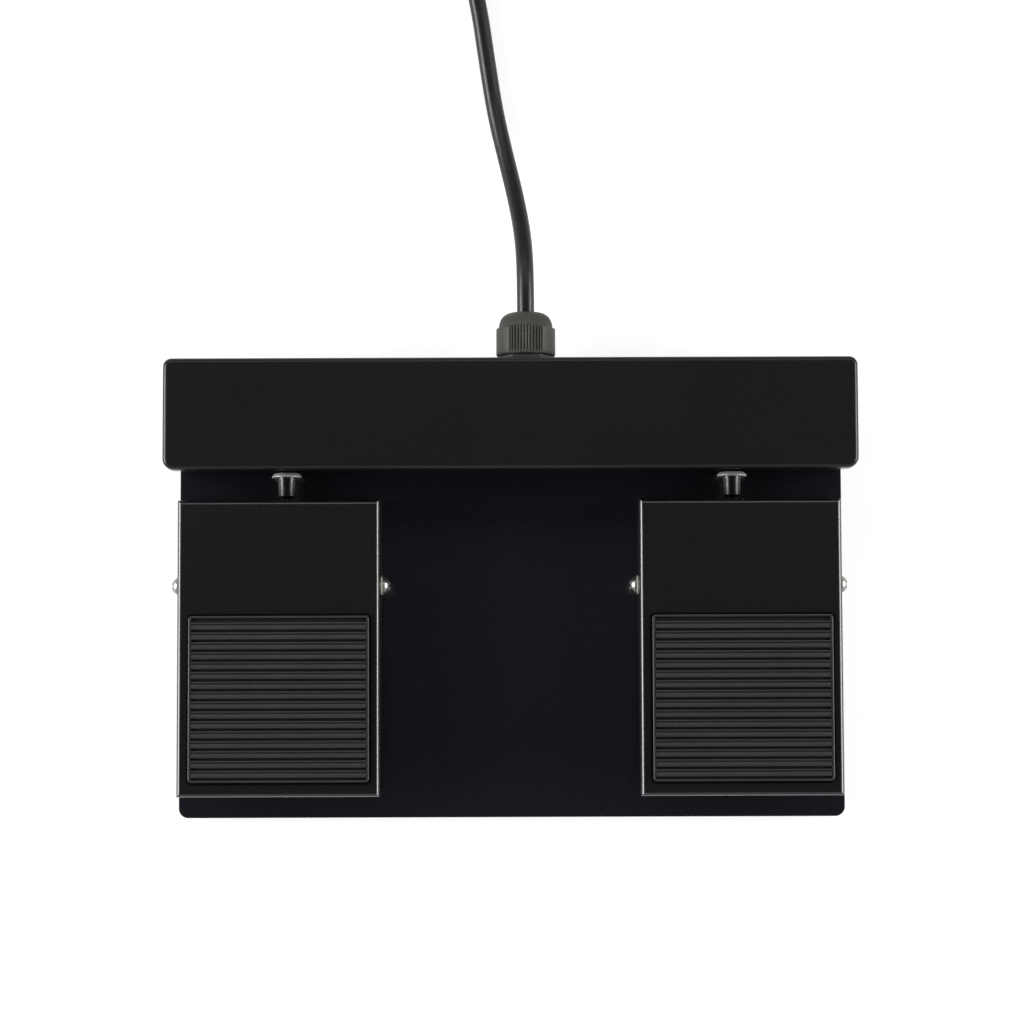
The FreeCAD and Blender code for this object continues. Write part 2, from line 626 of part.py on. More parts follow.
def pivots():
    """One screw, washer, flanged bush and nut at each end of each pedal's axis."""
    screws, washers, bushes, nuts = [], [], [], []
    for side, sign in SIDES:
        for out in (-1, 1):
            name = f"{side}_{'outer' if out == sign else 'inner'}"
            way, home = ("+x", "-x") if out > 0 else ("-x", "+x")

            def at(reach):
                return (f"{pedal_middle(sign)} + {out} * ({reach})", "pivot_back", "pivot_height")

            ear = "bracket_width / 2"
            barrel = rod(f"bush_barrel_{name}", "bush_outer", f"bush_reach - {ear}", at(ear), way)
            flange = rod(f"bush_flange_{name}", "bush_brim", "bush_flange", at("bush_reach"), way)
            blank = fuse(f"bush_blank_{name}", barrel, flange)
            bore = f"bush_reach + bush_flange - {ear}"
            bushes.append(drilled(f"bush_{name}", blank, "bush_bore", bore, at(ear), way))
            rest = at("bush_reach + bush_flange")
            disc = rod(f"washer_disc_{name}", "washer_radius", "washer_thick", rest, way)
            washers.append(drilled(f"washer_{name}", disc, "washer_bore", "washer_thick", rest, way))
            head = at("bush_reach + bush_flange + washer_thick")
            screws.append(pan_screw(f"pivot_screw_{name}", "pivot_screw", head, home))
            nuts.append(small_nut(f"pivot_nut_{name}", at(f"{ear} - bracket_sheet"), home))
    node("pivot_screws", group("PivotScrews", screws))
    node("pivot_washers", group("PivotWashers", washers))
    node("pivot_bushes", group("PivotBushes", bushes))
    node("pivot_nuts", group("PivotNuts", nuts))


# -------------------------------------------------------------------------------------- pedals


def pedal_plates():
    """A folded tray, open below: the top, a short front lip, side flanges and a leaning rear flange."""
    for side, sign in SIDES:
        body = doc.addObject("PartDesign::Body", f"PedalPlate_{side}")
        profile = new_sketch(body, f"PedalSide_{side}", "YZ_Plane")
        lean_out = "(pedal_top - pedal_low) * tan(rear_lean)"
        outline(
            profile,
            [
                ("pedal_front", "pedal_top"),
                ("pedal_front", "pedal_top - pedal_lip"),
                ("pedal_taper", "pedal_low"),
                (f"pedal_rear + {lean_out}", "pedal_low"),
                ("pedal_rear", "pedal_top"),
            ],
        )
        block = pad(body, f"PedalBlock_{side}", profile, "pedal_width", midplane=True)
        at_top = level_at(SIZE["pedal_top"])
        bends = dress(body, "Fillet", f"PedalBends_{side}", block, at_top, Radius="pedal_bend")
        doc.recompute()
        below = [
            f"Face{i}"
            for i, face in enumerate(bends.Shape.Faces, start=1)
            if isinstance(face.Surface, Part.Plane) and face.normalAt(0, 0).z < -0.5
        ]
        tray = body.newObject("PartDesign::Thickness", f"PedalTray_{side}")
        tray.Base = (bends, below)
        tray.Reversed = True
        bind(tray, Value="pedal_sheet")
        doc.recompute()
        bore = new_sketch(body, f"PedalBore_{side}", "YZ_Plane")
        circles(bore, [("pivot_back", "pivot_height")], "bush_outer + bush_fit")
        through(body, f"PedalBoreCut_{side}", bore)
        place(body, pedal_middle(sign), "0", "0")
        node(f"pedal_plate_{side}", body)


def tread_mats():
    """A flat rubber mat with cross grooves between a plain rim."""
    for side, sign in SIDES:
        body = doc.addObject("PartDesign::Body", f"TreadMat_{side}")
        flat = new_sketch(body, f"MatOutline_{side}", "XY_Plane", "pedal_top")
        outline(flat, rectangle("mat_width / 2", "mat_front", "mat_rear"))
        slab = pad(body, f"MatSlab_{side}", flat, "mat_thick")
        dress(body, "Fillet", f"MatCorners_{side}", slab, upright, Radius="mat_corner")
        doc.recompute()
        first = "((mat_front + mat_rear) / 2 - (groove_count - 1) / 2 * groove_pitch)"
        row = new_sketch(body, f"MatGroove_{side}", "XY_Plane", "pedal_top + mat_thick")
        reach = "(mat_width / 2 - mat_rim)"
        near, far = f"{first} - groove_width / 2", f"{first} + groove_width / 2"
        outline(row, rectangle(reach, near, far))
        groove = body.newObject("PartDesign::Pocket", f"MatFirstGroove_{side}")
        groove.Profile = row
        bind(groove, Length="groove_depth")
        doc.recompute()
        pattern = body.newObject("PartDesign::LinearPattern", f"MatGrooves_{side}")
        pattern.Originals = [groove]
        pattern.Direction = (plane_of(body, "Y_Axis"), [""])
        bind(pattern, Length="(groove_count - 1) * groove_pitch", Occurrences="groove_count")
        body.Tip = pattern
        place(body, f"{pedal_middle(sign)} + mat_sideways", "0", "0")
        node(f"tread_mat_{side}", body)


def return_springs():
    """A compression spring under each pedal, a seat on the base plate and a cap under the pedal."""
    seats = []
    for side, sign in SIDES:
        x, y = pedal_middle(sign), "spring_back"
        underside = "(pedal_top - pedal_sheet)"
        seat = rod(f"seat_disc_{side}", "seat_radius", "seat_thick", (x, y, BASE_TOP))
        peg = rod(f"seat_peg_{side}", "peg_radius", "seat_peg", (x, y, f"{BASE_TOP} + seat_thick"))
        stem = rod(f"seat_stem_{side}", "stem_radius", "base_thick", (x, y, "foot_height"))
        seats.append(fuse(f"seat_{side}", seat, peg, stem))
        disc = rod(f"cap_disc_{side}", "cap_radius", "cap_thick", (x, y, f"{underside} - cap_thick"))
        low = (x, y, f"{underside} - cap_thick - cap_peg")
        nose = rod(f"cap_nose_{side}", "peg_radius", "cap_peg", low)
        node(f"spring_cap_{side}", fuse(f"SpringCap_{side}", disc, nose))
        foot = f"{BASE_TOP} + seat_thick + spring_wire"
        helix = doc.addObject("Part::Helix", f"SpringLine_{side}")
        height = f"{underside} - cap_thick - spring_gap - spring_wire - ({foot})"
        bind(helix, Pitch="spring_pitch", Height=height, Radius="spring_radius")
        place(helix, x, y, foot)
        wire = doc.addObject("Part::Circle", f"SpringWire_{side}")
        bind(wire, Radius="spring_wire")
        wire.Placement.Rotation = FreeCAD.Rotation(X_AXIS, 90)
        for axis, text in (("x", f"{x} + spring_radius"), ("y", y), ("z", foot)):
            wire.setExpression(f"Placement.Base.{axis}", on_sheet(text))
        sweep = doc.addObject("Part::Sweep", f"ReturnSpring_{side}")
        sweep.Sections = [wire]
        sweep.Spine = (helix, ["Edge1"])
        sweep.Solid = True
        sweep.Frenet = True
        node(f"return_spring_{side}", sweep)
    node("spring_seats", group("SpringSeats", seats))


def stops():
    """Rubber bump stops under the pedals' fronts, and thin pads under their rear flanges."""
    bumps, pads = [], []
    for side, sign in SIDES:
        x = pedal_middle(sign)
        body = cone(f"bump_body_{side}", "bump_foot", "bump_tip", "bump_height", (x, "bump_back", BASE_TOP))
        stem = rod(f"bump_stem_{side}", "stem_radius", "base_thick", (x, "bump_back", "foot_height"))
        bumps.append(fuse(f"bump_{side}", body, stem))
        corner = (f"{x} - rest_width / 2", "rest_front", BASE_TOP)
        pads.append(box(f"rest_pad_{side}", ("rest_width", "rest_depth", "rest_thick"), corner))
    node("bump_stops", group("BumpStops", bumps))
    node("rest_pads", group("RestPads", pads))


# ------------------------------------------------------------------------------ housing cover


def housing_cover():
    """A folded lid over the front panel. Only its rear wall hangs past the base plate's edge."""
    body = doc.addObject("PartDesign::Body", "HousingCover")
    flat = new_sketch(body, "CoverOutline", "XY_Plane", "cover_skirt")
    outline(flat, rectangle("cover_width / 2", "cover_front", "cover_rear"))
    block = pad(body, "CoverBlock", flat, "cover_top - cover_skirt")

    def upright_at(back):
        return lambda edge: upright(edge) and abs(edge.Vertexes[0].Point.y - back) < 1e-6

    at_front, at_rear = upright_at(SIZE["cover_front"]), upright_at(SIZE["cover_rear"])
    front = dress(body, "Fillet", "CoverFrontCorners", block, at_front, Radius="cover_front_corner")
    rear = dress(body, "Fillet", "CoverRearCorners", front, at_rear, Radius="cover_rear_corner")
    top = dress(body, "Fillet", "CoverTopBend", rear, level_at(SIZE["cover_top"]), Radius="cover_edge")
    doc.recompute()
    below = [f"Face{i}" for i, face in enumerate(top.Shape.Faces, start=1) if face.normalAt(0, 0).z < -0.99]
    shell = body.newObject("PartDesign::Thickness", "CoverShell")
    shell.Base = (top, below)
    shell.Reversed = True
    bind(shell, Value="cover_wall")
    doc.recompute()
    short = new_sketch(body, "CoverShortWalls", "YZ_Plane")
    inside = "cover_rear - cover_wall - skirt_gap"
    outline(
        short,
        [
            ("cover_front - 1", "cover_skirt - 1"),
            (inside, "cover_skirt - 1"),
            (inside, "cover_lip"),
            ("cover_front - 1", "cover_lip"),
        ],
    )
    trim = body.newObject("PartDesign::Pocket", "CoverShortWallsCut")
    trim.Profile = short
    trim.SideType = "Symmetric"
    bind(trim, Length="cover_width + 2")
    doc.recompute()
    opening = new_sketch(body, "GlandHole", "XZ_Plane", "-cover_rear")
    circles(opening, [("gland_side", "gland_height")], "gland_thread + gland_fit")
    rear_hole = body.newObject("PartDesign::Pocket", "GlandHoleCut")
    rear_hole.Profile = opening
    rear_hole.SideType = "Symmetric"
    bind(rear_hole, Length="4 * cover_wall")
    node("housing_cover", body)


def front_panel():
    """A folded panel that stands on the base plate, with a side return at each end."""
    height = f"panel_top - {BASE_TOP}"
    depth = "base_rear - panel_front"
    outside = box("panel_block", ("2 * panel_half", depth, height), ("-panel_half", "panel_front", BASE_TOP))
    inside = box(
        "panel_room",
        ("2 * (panel_half - cover_wall)", depth, f"{height} + 2"),
        ("cover_wall - panel_half", "panel_front + cover_wall", f"{BASE_TOP} - 1"),
    )

    def bend_at(back):
        return lambda edge: upright(edge) and abs(edge.Vertexes[0].Point.y - back) < 1e-6

    folded = rounded("panel_outside", outside, SIZE["panel_bend"], bend_at(SIZE["panel_front"]))
    inner_bend = SIZE["panel_bend"] - SIZE["cover_wall"]
    room = rounded("panel_inside", inside, inner_bend, bend_at(SIZE["panel_front"] + SIZE["cover_wall"]))
    holes = []
    for side, sign in SIDES:
        start = (plunger_middle(sign), "panel_front - 1", "plunger_height")
        holes.append(rod(f"panel_hole_{side}", "barrel_radius + bush_fit", "cover_wall + 2", start, "+y"))
    node("front_panel", cut("FrontPanel", folded, room, *holes))


def cover_posts():
    posts, screws = [], []
    for i, (x, y) in enumerate(POSTS):
        height = f"cover_top - cover_wall - {BASE_TOP}"
        post = rod(f"post_rod_{i}", "post_radius", height, (x, y, BASE_TOP))
        posts.append(drilled(f"post_{i}", post, "screw_thread", "post_screw", (x, y, BASE_TOP)))
        screws.append(sunk_screw(f"cover_screw_{i}", "post_screw", x, y))
    node("cover_posts", group("CoverPosts", posts))
    node("cover_screws", group("CoverScrews", screws))


# ------------------------------------------------------------------------ plungers and switches


def plungers():
    nuts = []
    for side, sign in SIDES:
        x, z = plunger_middle(sign), "plunger_height"

        def at(y):
            return (x, y, z)

        bezel = rod(f"bezel_{side}", "bezel_radius", "bezel_thick", at("bezel_front"), "+y")
        edge = rounded(f"bezel_round_{side}", bezel, SIZE["bezel_round"], ring_at(SIZE["bezel_front"]))
        neck_front = "bezel_front + bezel_thick"
        neck_length = f"panel_front - ({neck_front})"
        neck = rod(f"bush_neck_{side}", "neck_radius", neck_length, at(neck_front), "+y")
        barrel_length, barrel_front = "barrel_end - panel_front", at("panel_front")
        barrel = rod(f"barrel_{side}", "barrel_radius", barrel_length, barrel_front, "+y")
        blank = fuse(f"bush_blank_{side}", edge, neck, barrel)
        bore, depth = "plunger_radius + bush_fit", "barrel_end - bezel_front"
        bush = drilled(f"PlungerBush_{side}", blank, bore, depth, at("bezel_front"), "+y")
        node(f"plunger_bush_{side}", bush)
        wall_back = at("panel_front + cover_wall")
        blank_nut = hexagon(f"bush_nut_hex_{side}", "bush_nut_flats", "bush_nut_height", wall_back, "+y")
        nut = drilled(f"bush_nut_{side}", blank_nut, "barrel_radius", "bush_nut_height", wall_back, "+y")
        nuts.append(nut)

        ball = doc.addObject("Part::Sphere", f"plunger_ball_{side}")
        bind(ball, Radius="plunger_dome")
        place(ball, x, "plunger_tip + plunger_dome", z, "+y")
        nose = rod(f"plunger_nose_{side}", "plunger_radius", "plunger_nose", at("plunger_tip"), "+y")
        dome = doc.addObject("Part::Common", f"plunger_end_{side}")
        dome.Base = nose
        dome.Tool = ball
        behind = "plunger_tip + plunger_nose"
        shaft_length = f"plunger_step - ({behind})"
        shaft = rod(f"plunger_shaft_{side}", "plunger_radius", shaft_length, at(behind), "+y")
        tail_length = "plunger_end - plunger_step"
        tail = rod(f"plunger_tail_{side}", "tail_radius", tail_length, at("plunger_step"), "+y")
        whole = fuse(f"plunger_whole_{side}", dome, shaft, tail)
        wide, start = "clip_thick + 2 * clip_play", at("clip_front - clip_play")
        ring = rod(f"groove_ring_{side}", "plunger_radius + 1", wide, start, "+y")
        groove = drilled(f"groove_{side}", ring, "plunger_radius - clip_bite", wide, start, "+y")
        node(f"plunger_{side}", cut(f"Plunger_{side}", whole, groove))

        clip = at("clip_front")
        disc = rod(f"clip_disc_{side}", "clip_radius", "clip_thick", clip, "+y")
        grip = "plunger_radius - clip_bite"
        open_disc = drilled(f"clip_ring_{side}", disc, grip, "clip_thick", clip, "+y")
        corner = (f"{x} - clip_gap / 2", "clip_front", z)
        gap = box(f"clip_gap_{side}", ("clip_gap", "clip_thick", "clip_radius + 1"), corner)
        node(f"plunger_clip_{side}", cut(f"PlungerClip_{side}", open_disc, gap))
    node("bush_nuts", group("BushNuts", nuts))


def ring_at(back):
    return lambda edge: isinstance(edge.Curve, Part.Circle) and abs(edge.Vertexes[0].Point.y - back) < 1e-6


def switch_carrier(side, x):
    """A moulded shelf for one switch, with a ribbed front wall that guides the plunger's tail."""
    floor_height = f"{SHELF} - {BASE_TOP}"
    floor = box(
        f"carrier_floor_{side}",
        ("2 * carrier_half", "carrier_rear - carrier_front", floor_height),
        (f"{x} - carrier_half", "carrier_front", BASE_TOP),
    )
    wall_size = ("guide_width", "carrier_wall", "guide_height")
    wall = box(f"carrier_wall_{side}", wall_size, (f"{x} - guide_width / 2", "carrier_front", BASE_TOP))
    rib_size = ("rib_thick", "rib_depth", f"{floor_height} + rib_rise")
    ribs = [
        box(f"carrier_rib_{side}_{i}", rib_size, (f"{x} {offset}", "carrier_front", BASE_TOP))
        for i, offset in enumerate(("- guide_width / 2", "+ guide_width / 2 - rib_thick"))
    ]
    blank = fuse(f"carrier_blank_{side}", floor, wall, *ribs)
    start = (x, "carrier_front - 1", "plunger_height")
    guide = rod(f"carrier_guide_{side}", "tail_radius + bush_fit", "carrier_wall + 2", start, "+y")
    holes = []
    for i, way in enumerate((-1, 1)):
        wide = (f"{x} + {way} * carrier_screw_side", "carrier_screw_back", BASE_TOP)
        fine = (f"{x} + {way} * switch_screw_side", "switch_screw_back", BASE_TOP)
        holes.append(rod(f"carrier_hole_{side}_{i}", "screw_thread", f"{floor_height} + 1", wide))
        holes.append(rod(f"carrier_thread_{side}_{i}", "switch_thread", f"{floor_height} + 1", fine))
    node(f"switch_carrier_{side}", cut(f"SwitchCarrier_{side}", blank, guide, *holes))


def snap_switch(side, x):
    """A snap-action switch: its case with a pocket, the button in it, and three terminals."""
    case = box(
        f"switch_case_{side}",
        ("switch_width", "switch_depth", "switch_thick"),
        (f"{x} - switch_width / 2", "switch_front", SHELF),
    )
    pocket = box(
        f"switch_pocket_{side}",
        ("pocket_width", "pocket_depth", "pocket_height"),
        (f"{x} - pocket_width / 2", "switch_front", "plunger_height - pocket_height / 2"),
    )
    bores = []
    for i, way in enumerate((-1, 1)):
        start = (f"{x} + {way} * switch_screw_side", "switch_screw_back", SHELF)
        bores.append(rod(f"switch_bore_{side}_{i}", "switch_hole", "switch_thick", start))
    node(f"switch_body_{side}", cut(f"SwitchBody_{side}", case, pocket, *bores))
    size = ("button_width", "button_length", "button_height")
    corner = (f"{x} - button_width / 2", "button_front", "plunger_height - button_height / 2")
    node(f"switch_button_{side}", box(f"SwitchButton_{side}", size, corner))
    case_rear = "switch_front + switch_depth"
    blade = ("terminal_thick", f"terminal_end - ({case_rear})", "terminal_height")
    terminals = []
    for i in (-1, 0, 1):
        left = f"{x} + {i} * terminal_pitch - terminal_thick / 2"
        corner = (left, case_rear, "plunger_height - terminal_height / 2")
        terminals.append(box(f"terminal_{side}_{i + 1}", blade, corner))
    return terminals


def switch_screw(name, x):
    top = f"{SHELF} + switch_thick"
    head = rod(name + "_head", "switch_head", "switch_head_height", (x, "switch_screw_back", top))
    shank = rod(name + "_shank", "switch_shank", "switch_screw", (x, "switch_screw_back", top), "-z")
    floor = f"{top} + switch_head_height - slot_depth"
    corner = (f"{x} - switch_head", "switch_screw_back - switch_slot / 2", floor)
    slot = box(name + "_slot", ("2 * switch_head", "switch_slot", "slot_depth"), corner)
    return cut(name, fuse(name + "_whole", head, shank), slot)


def switches():
    carrier_screws, switch_screws, terminals = [], [], []
    for side, sign in SIDES:
        x = plunger_middle(sign)
        switch_carrier(side, x)
        terminals += snap_switch(side, x)
        for i, way in enumerate((-1, 1)):
            fine = f"{x} + {way} * switch_screw_side"
            switch_screws.append(switch_screw(f"switch_screw_{side}_{i}", fine))
            wide = f"{x} + {way} * carrier_screw_side"
            name = f"carrier_screw_{side}_{i}"
            carrier_screws.append(sunk_screw(name, "carrier_screw", wide, "carrier_screw_back"))
    node("carrier_screws", group("CarrierScrews", carrier_screws))
    node("switch_screws", group("SwitchScrews", switch_screws))
    node("switch_terminals", group("SwitchTerminals", terminals))


# ---------------------------------------------------------------------------------------- gland


def gland():
    def at(y):
        return ("gland_side", y, "gland_height")

    start, whole = at("gland_front"), "gland_end - gland_front"
    stem = rod("gland_stem", "gland_thread", "gland_seat - gland_front", start, "+y")
    hex_thick = "gland_nut_front - gland_seat"
    hex_turned = rod("gland_hex_turned", "gland_hex_radius", hex_thick, at("gland_seat"), "+y")
    flats = doc.addObject("Part::Common", "gland_hex")
    flats.Base = hexagon("gland_hex_blank", "gland_flats", hex_thick, at("gland_seat"), "+y")
    flats.Tool = rounded("gland_hex_edge", hex_turned, SIZE["gland_edge"], ring_at(SIZE["gland_nut_front"]))
    collar = rod("gland_collar_rod", "gland_collar", "collar_length", at("gland_nut_front"), "+y")
    blank = fuse("gland_blank", stem, flats, collar)
    node("gland_body", drilled("GlandBody", blank, "gland_bore", whole, start, "+y"))

    ring = rod("gland_ring_disc", "gland_ring", "gland_seat - cover_rear", at("cover_rear"), "+y")
    bore = "gland_seat - cover_rear"
    node("gland_washer", drilled("GlandWasher", ring, "gland_thread", bore, at("cover_rear"), "+y"))

    nut_front = at("cover_rear - cover_wall - lock_height")
    nut = hexagon("gland_nut_hex", "lock_flats", "lock_height", nut_front, "+y")
    node("gland_lock_nut", drilled("GlandLockNut", nut, "gland_thread", "lock_height", nut_front, "+y"))

    front = at("gland_nut_front")
    grip = rod("dome_grip", "dome_radius", "gland_shoulder - gland_nut_front", front, "+y")
    crown = rod("dome_crown", "dome_step", "gland_end - gland_shoulder", at("gland_shoulder"), "+y")
    dome = rounded("dome_shape", crown, SIZE["dome_round"], ring_at(SIZE["gland_end"]))
    shell = fuse("dome_shell", grip, dome)
    room = rod("dome_room", "room_radius", "room_depth", front, "+y")
    throat = rod("dome_throat", "throat_radius", "throat_depth", at("gland_nut_front + room_depth"), "+y")
    mouth = rod("dome_mouth", "mouth_radius", "gland_end - gland_nut_front + 1", front, "+y")
    node("gland_dome_nut", cut("GlandDomeNut", shell, room, throat, mouth))

    insert_front = at("gland_nut_front + room_depth + seal_play")
    insert = rod("seal_rod", "seal_radius", "seal_length", insert_front, "+y")
    lip = rod("seal_lip", "lip_radius", "gland_end - lip_inset - lip_front", at("lip_front"), "+y")
    seal = fuse("seal_blank", insert, lip)
    node("gland_seal", drilled("GlandSeal", seal, "cable_radius", whole, front, "+y"))


def inner_cable():
    """The jacket's inner end, with a cable tie round it that keeps it from being pulled out."""

    def at(y):
        return ("gland_side", y, "gland_height")

    jacket = rod("InnerCable", "cable_radius", "gland_end - jacket_end", at("jacket_end"), "+y")
    node("inner_cable", jacket)
    band = rod("strain_band", "cable_radius + strain_thick", "strain_width", at("strain_front"), "+y")
    corner = ("gland_side - strain_lock / 2", "strain_front", "gland_height + cable_radius + lock_sink")
    lock = box("strain_lock_box", ("strain_lock", "strain_width", "lock_rise"), corner)
    tie = fuse("strain_blank", band, lock)
    node("strain_tie", drilled("StrainTie", tie, "cable_radius", "strain_width", at("strain_front"), "+y"))


# ---------------------------------------------------------------------- cable, wires and plug

# The free cable from the gland to the coil: straight out, down to the floor and away to the rear.
CABLE_ROUTE = (
    (5.2, 84.2, 22.0),
    (5.2, 97.5, 22.0),
    (4.5, 111.0, 17.0),
    (2.2, 125.0, 11.0),
    (-1.2, 140.0, 5.9),
    (-4.8, 156.0, 2.9),
    (-7.6, 174.0, 2.9),
    (-10.4, 194.0, 2.9),
    (-15.0, 213.5, 3.1),
    (-18.2, 233.0, 3.7),
    (-18.0, 248.0, 3.7),
)
# The free end: off the coil's outer turn and down into the plug's boot.
TAIL_ROUTE = (
    (-4.8, 283.8, 9.5),
    (4.6, 293.1, 9.1),
    (16.0, 302.2, 8.2),
    (29.5, 307.8, 7.3),
    (44.0, 308.4, 7.0),
)
# Two wires to each switch, for the right-hand side, from just outside the jacket to a terminal.
NEAR_WIRE = (
    (12.0, 44.0, 20.5),
    (26.0, 40.5, 17.5),
    (42.0, 45.0, 14.5),
    (56.0, 56.0, 13.0),
    (60.5, 63.2, 12.5),
    (67.05, 63.2, 12.0),
)
FAR_WIRE = (
    (12.0, 44.0, 22.3),
    (26.0, 40.5, 19.3),
    (42.0, 45.0, 16.6),
    (56.0, 56.0, 15.6),
    (61.0, 63.3, 15.6),
    (70.5, 63.3, 15.6),
    (74.05, 63.3, 13.2),
)


def rounded_path(points):
    """Straight runs joined by tangent arcs, each as large as its two runs allow."""
    points = [FreeCAD.Vector(*point) for point in points]
    edges, radii, start = [], [], points[0]
    for before, corner, after in zip(points, points[1:], points[2:]):
        back, ahead = (before - corner), (after - corner)
        shorter = min(back.Length, ahead.Length)
        half_turn = (math.pi - back.getAngle(ahead)) / 2
        reach = 0.45 * shorter
        radius = reach / math.tan(half_turn)
        radii.append(radius)
        back.normalize()
        ahead.normalize()
        entry, leave = corner + back * reach, corner + ahead * reach
        inward = back + ahead
        inward.normalize()
        middle = corner + inward * (radius / math.cos(half_turn) - radius)
        edges.append(Part.LineSegment(start, entry).toShape())
        edges.append(Part.Arc(entry, middle, leave).toShape())
        start = leave
    edges.append(Part.LineSegment(start, points[-1]).toShape())
    return Part.Wire(edges), radii


def tube(name, points, radius):
    """A round solid along a rounded path. Prints its radii and compares its volume."""
    path, radii = rounded_path(points)
    ahead = FreeCAD.Vector(*points[1]) - FreeCAD.Vector(*points[0])
    section = Part.Wire([Part.Circle(FreeCAD.Vector(*points[0]), ahead, radius).toShape()])
    solid = path.makePipeShell([section], True, True)
    expected = math.pi * radius**2 * path.Length
    print(f"{name}: length {path.Length:.1f}, volume {solid.Volume / expected:.4f} of section x length")
    print("  radii:", " ".join(f"{value:.0f}" for value in radii))
    return solid


def solid_feature(name, shape):
    feature = doc.addObject("Part::Feature", name)
    feature.Shape = shape
    return feature


def cables():
    radius = float(sheet.get("cable_radius"))
    node("cord_tube", solid_feature("CordTube", tube("cord_tube", CABLE_ROUTE, radius)))
    node("cord_tail", solid_feature("CordTail", tube("cord_tail", TAIL_ROUTE, radius)))

    centre = ("coil_side", "coil_back", "coil_low")
    height = "2 * cable_radius * coil_layers"
    ring = rod("coil_ring", "coil_turn + cable_radius", height, centre)
    node("cord_coil", drilled("CordCoil", ring, "coil_inner - cable_radius", height, centre))

    across = "coil_turn - coil_inner + 2 * cable_radius + tie_slack + tie_outer_play"
    high = f"{height} + 2 * tie_play"
    left = "coil_side + coil_inner - cable_radius - tie_slack"
    front, low = "coil_back - tie_width / 2", "coil_low - tie_play"
    hole = box("tie_hole", (across, "tie_width + 2", high), (left, f"{front} - 1", low))
    outer = box(
        "tie_band",
        (f"{across} + 2 * tie_thick", "tie_width", f"{high} + 2 * tie_thick"),
        (f"{left} - tie_thick", front, f"{low} - tie_thick"),
    )
    node("coil_tie", cut("CoilTie", outer, hole))


def switch_wires():
    wires = []
    apart = SIZE["wire_apart"]
    for side, sign in SIDES:
        for name, route, rise in (("near", NEAR_WIRE, -apart), ("far", FAR_WIRE, apart)):
            start = (SIZE["gland_side"] + sign * apart, SIZE["jacket_end"], SIZE["gland_height"] + rise)
            points = [start] + [(sign * x + SIZE["sideways"], y, z) for x, y, z in route]
            wires.append(tube(f"wire_{side}_{name}", points, SIZE["wire_radius"]))
    node("switch_wires", solid_feature("SwitchWires", Part.makeCompound(wires)))


def plug():
    """A three-contact jack plug that lies behind the coil and points to the right."""

    def at(x):
        return (f"plug_start + {x}", "plug_back", "plug_height")

    taper = cone("boot_cone", "cable_radius + boot_wall", "boot_end", "boot_length", at("0"), "+x")
    node("plug_boot", drilled("PlugBoot", taper, "cable_radius", "boot_length", at("0"), "+x"))
    grip = rod("handle_rod", "handle_radius", "handle_length", at("boot_length"), "+x")
    handle_start = SIZE["plug_start"] + SIZE["boot_length"]
    ends = (handle_start, handle_start + SIZE["handle_length"])

    def end_rim(edge):
        near = min(abs(edge.Vertexes[0].Point.x - end) for end in ends)
        return isinstance(edge.Curve, Part.Circle) and near < 1e-6

    node("plug_handle", rounded("PlugHandle", grip, SIZE["handle_edge"], end_rim))
    face = "boot_length + handle_length"
    collar = rod("sleeve_collar_rod", "sleeve_collar", "sleeve_collar_length", at(face), "+x")
    sleeve_start = f"{face} + sleeve_collar_length"
    sleeve = rod("sleeve_rod", "contact_radius", "sleeve_length", at(sleeve_start), "+x")
    node("plug_sleeve", fuse("PlugSleeve", collar, sleeve))
    first = f"{sleeve_start} + sleeve_length"
    starts = (first, f"{first} + insulator + ring_length")
    rings = [
        rod(f"insulator_{i}", "contact_radius", "insulator", at(start), "+x")
        for i, start in enumerate(starts)
    ]
    node("plug_insulators", group("PlugInsulators", rings))
    node("plug_ring", rod("PlugRing", "contact_radius", "ring_length", at(f"{first} + insulator"), "+x"))
    tip = f"{first} + 2 * insulator + ring_length"
    neck = cone("tip_neck", "contact_radius", "tip_waist", "tip_back", at(tip), "+x")
    swell = at(f"{tip} + tip_back")
    bulb = cone("tip_bulb", "tip_waist", "contact_radius", "tip_swell", swell, "+x")
    widest = at(f"{tip} + tip_back + tip_swell")
    nose = cone("tip_cone", "contact_radius", "tip_end", "tip_nose", widest, "+x")
    node("plug_tip", fuse("PlugTip", neck, bulb, nose))


base_plate()
feet()
pivot_brackets()
bracket_rivets()
pivots()
pedal_plates()
tread_mats()
return_springs()
stops()
housing_cover()
front_panel()
cover_posts()
plungers()
switches()
gland()
inner_cable()
cables()
switch_wires()
plug()
doc.recompute()

for thing in doc.Objects:
    if "Invalid" in thing.State or "Error" in thing.State:
        raise RuntimeError(f"{thing.Name} ({thing.Label}) failed: {thing.State}")
os.makedirs("parts", exist_ok=True)
for thing in nodes:
    if thing.Shape.isNull() or not thing.Shape.isValid() or not thing.Shape.Solids:
        raise RuntimeError(f"{thing.Label} has no valid solid")
    thing.Shape.exportStep(f"parts/{thing.Label}.step")
    bounds = thing.Shape.BoundBox
    print(
        f"{thing.Label}: {len(thing.Shape.Solids)} solid(s), {thing.Shape.Volume:.1f} mm3, "
        f"x {bounds.XMin:.2f}..{bounds.XMax:.2f}, y {bounds.YMin:.2f}..{bounds.YMax:.2f}, "
        f"z {bounds.ZMin:.2f}..{bounds.ZMax:.2f}"
    )
print(f"{len(nodes)} nodes")
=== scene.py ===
import math

import bmesh
import bpy
from mathutils import Matrix, Vector


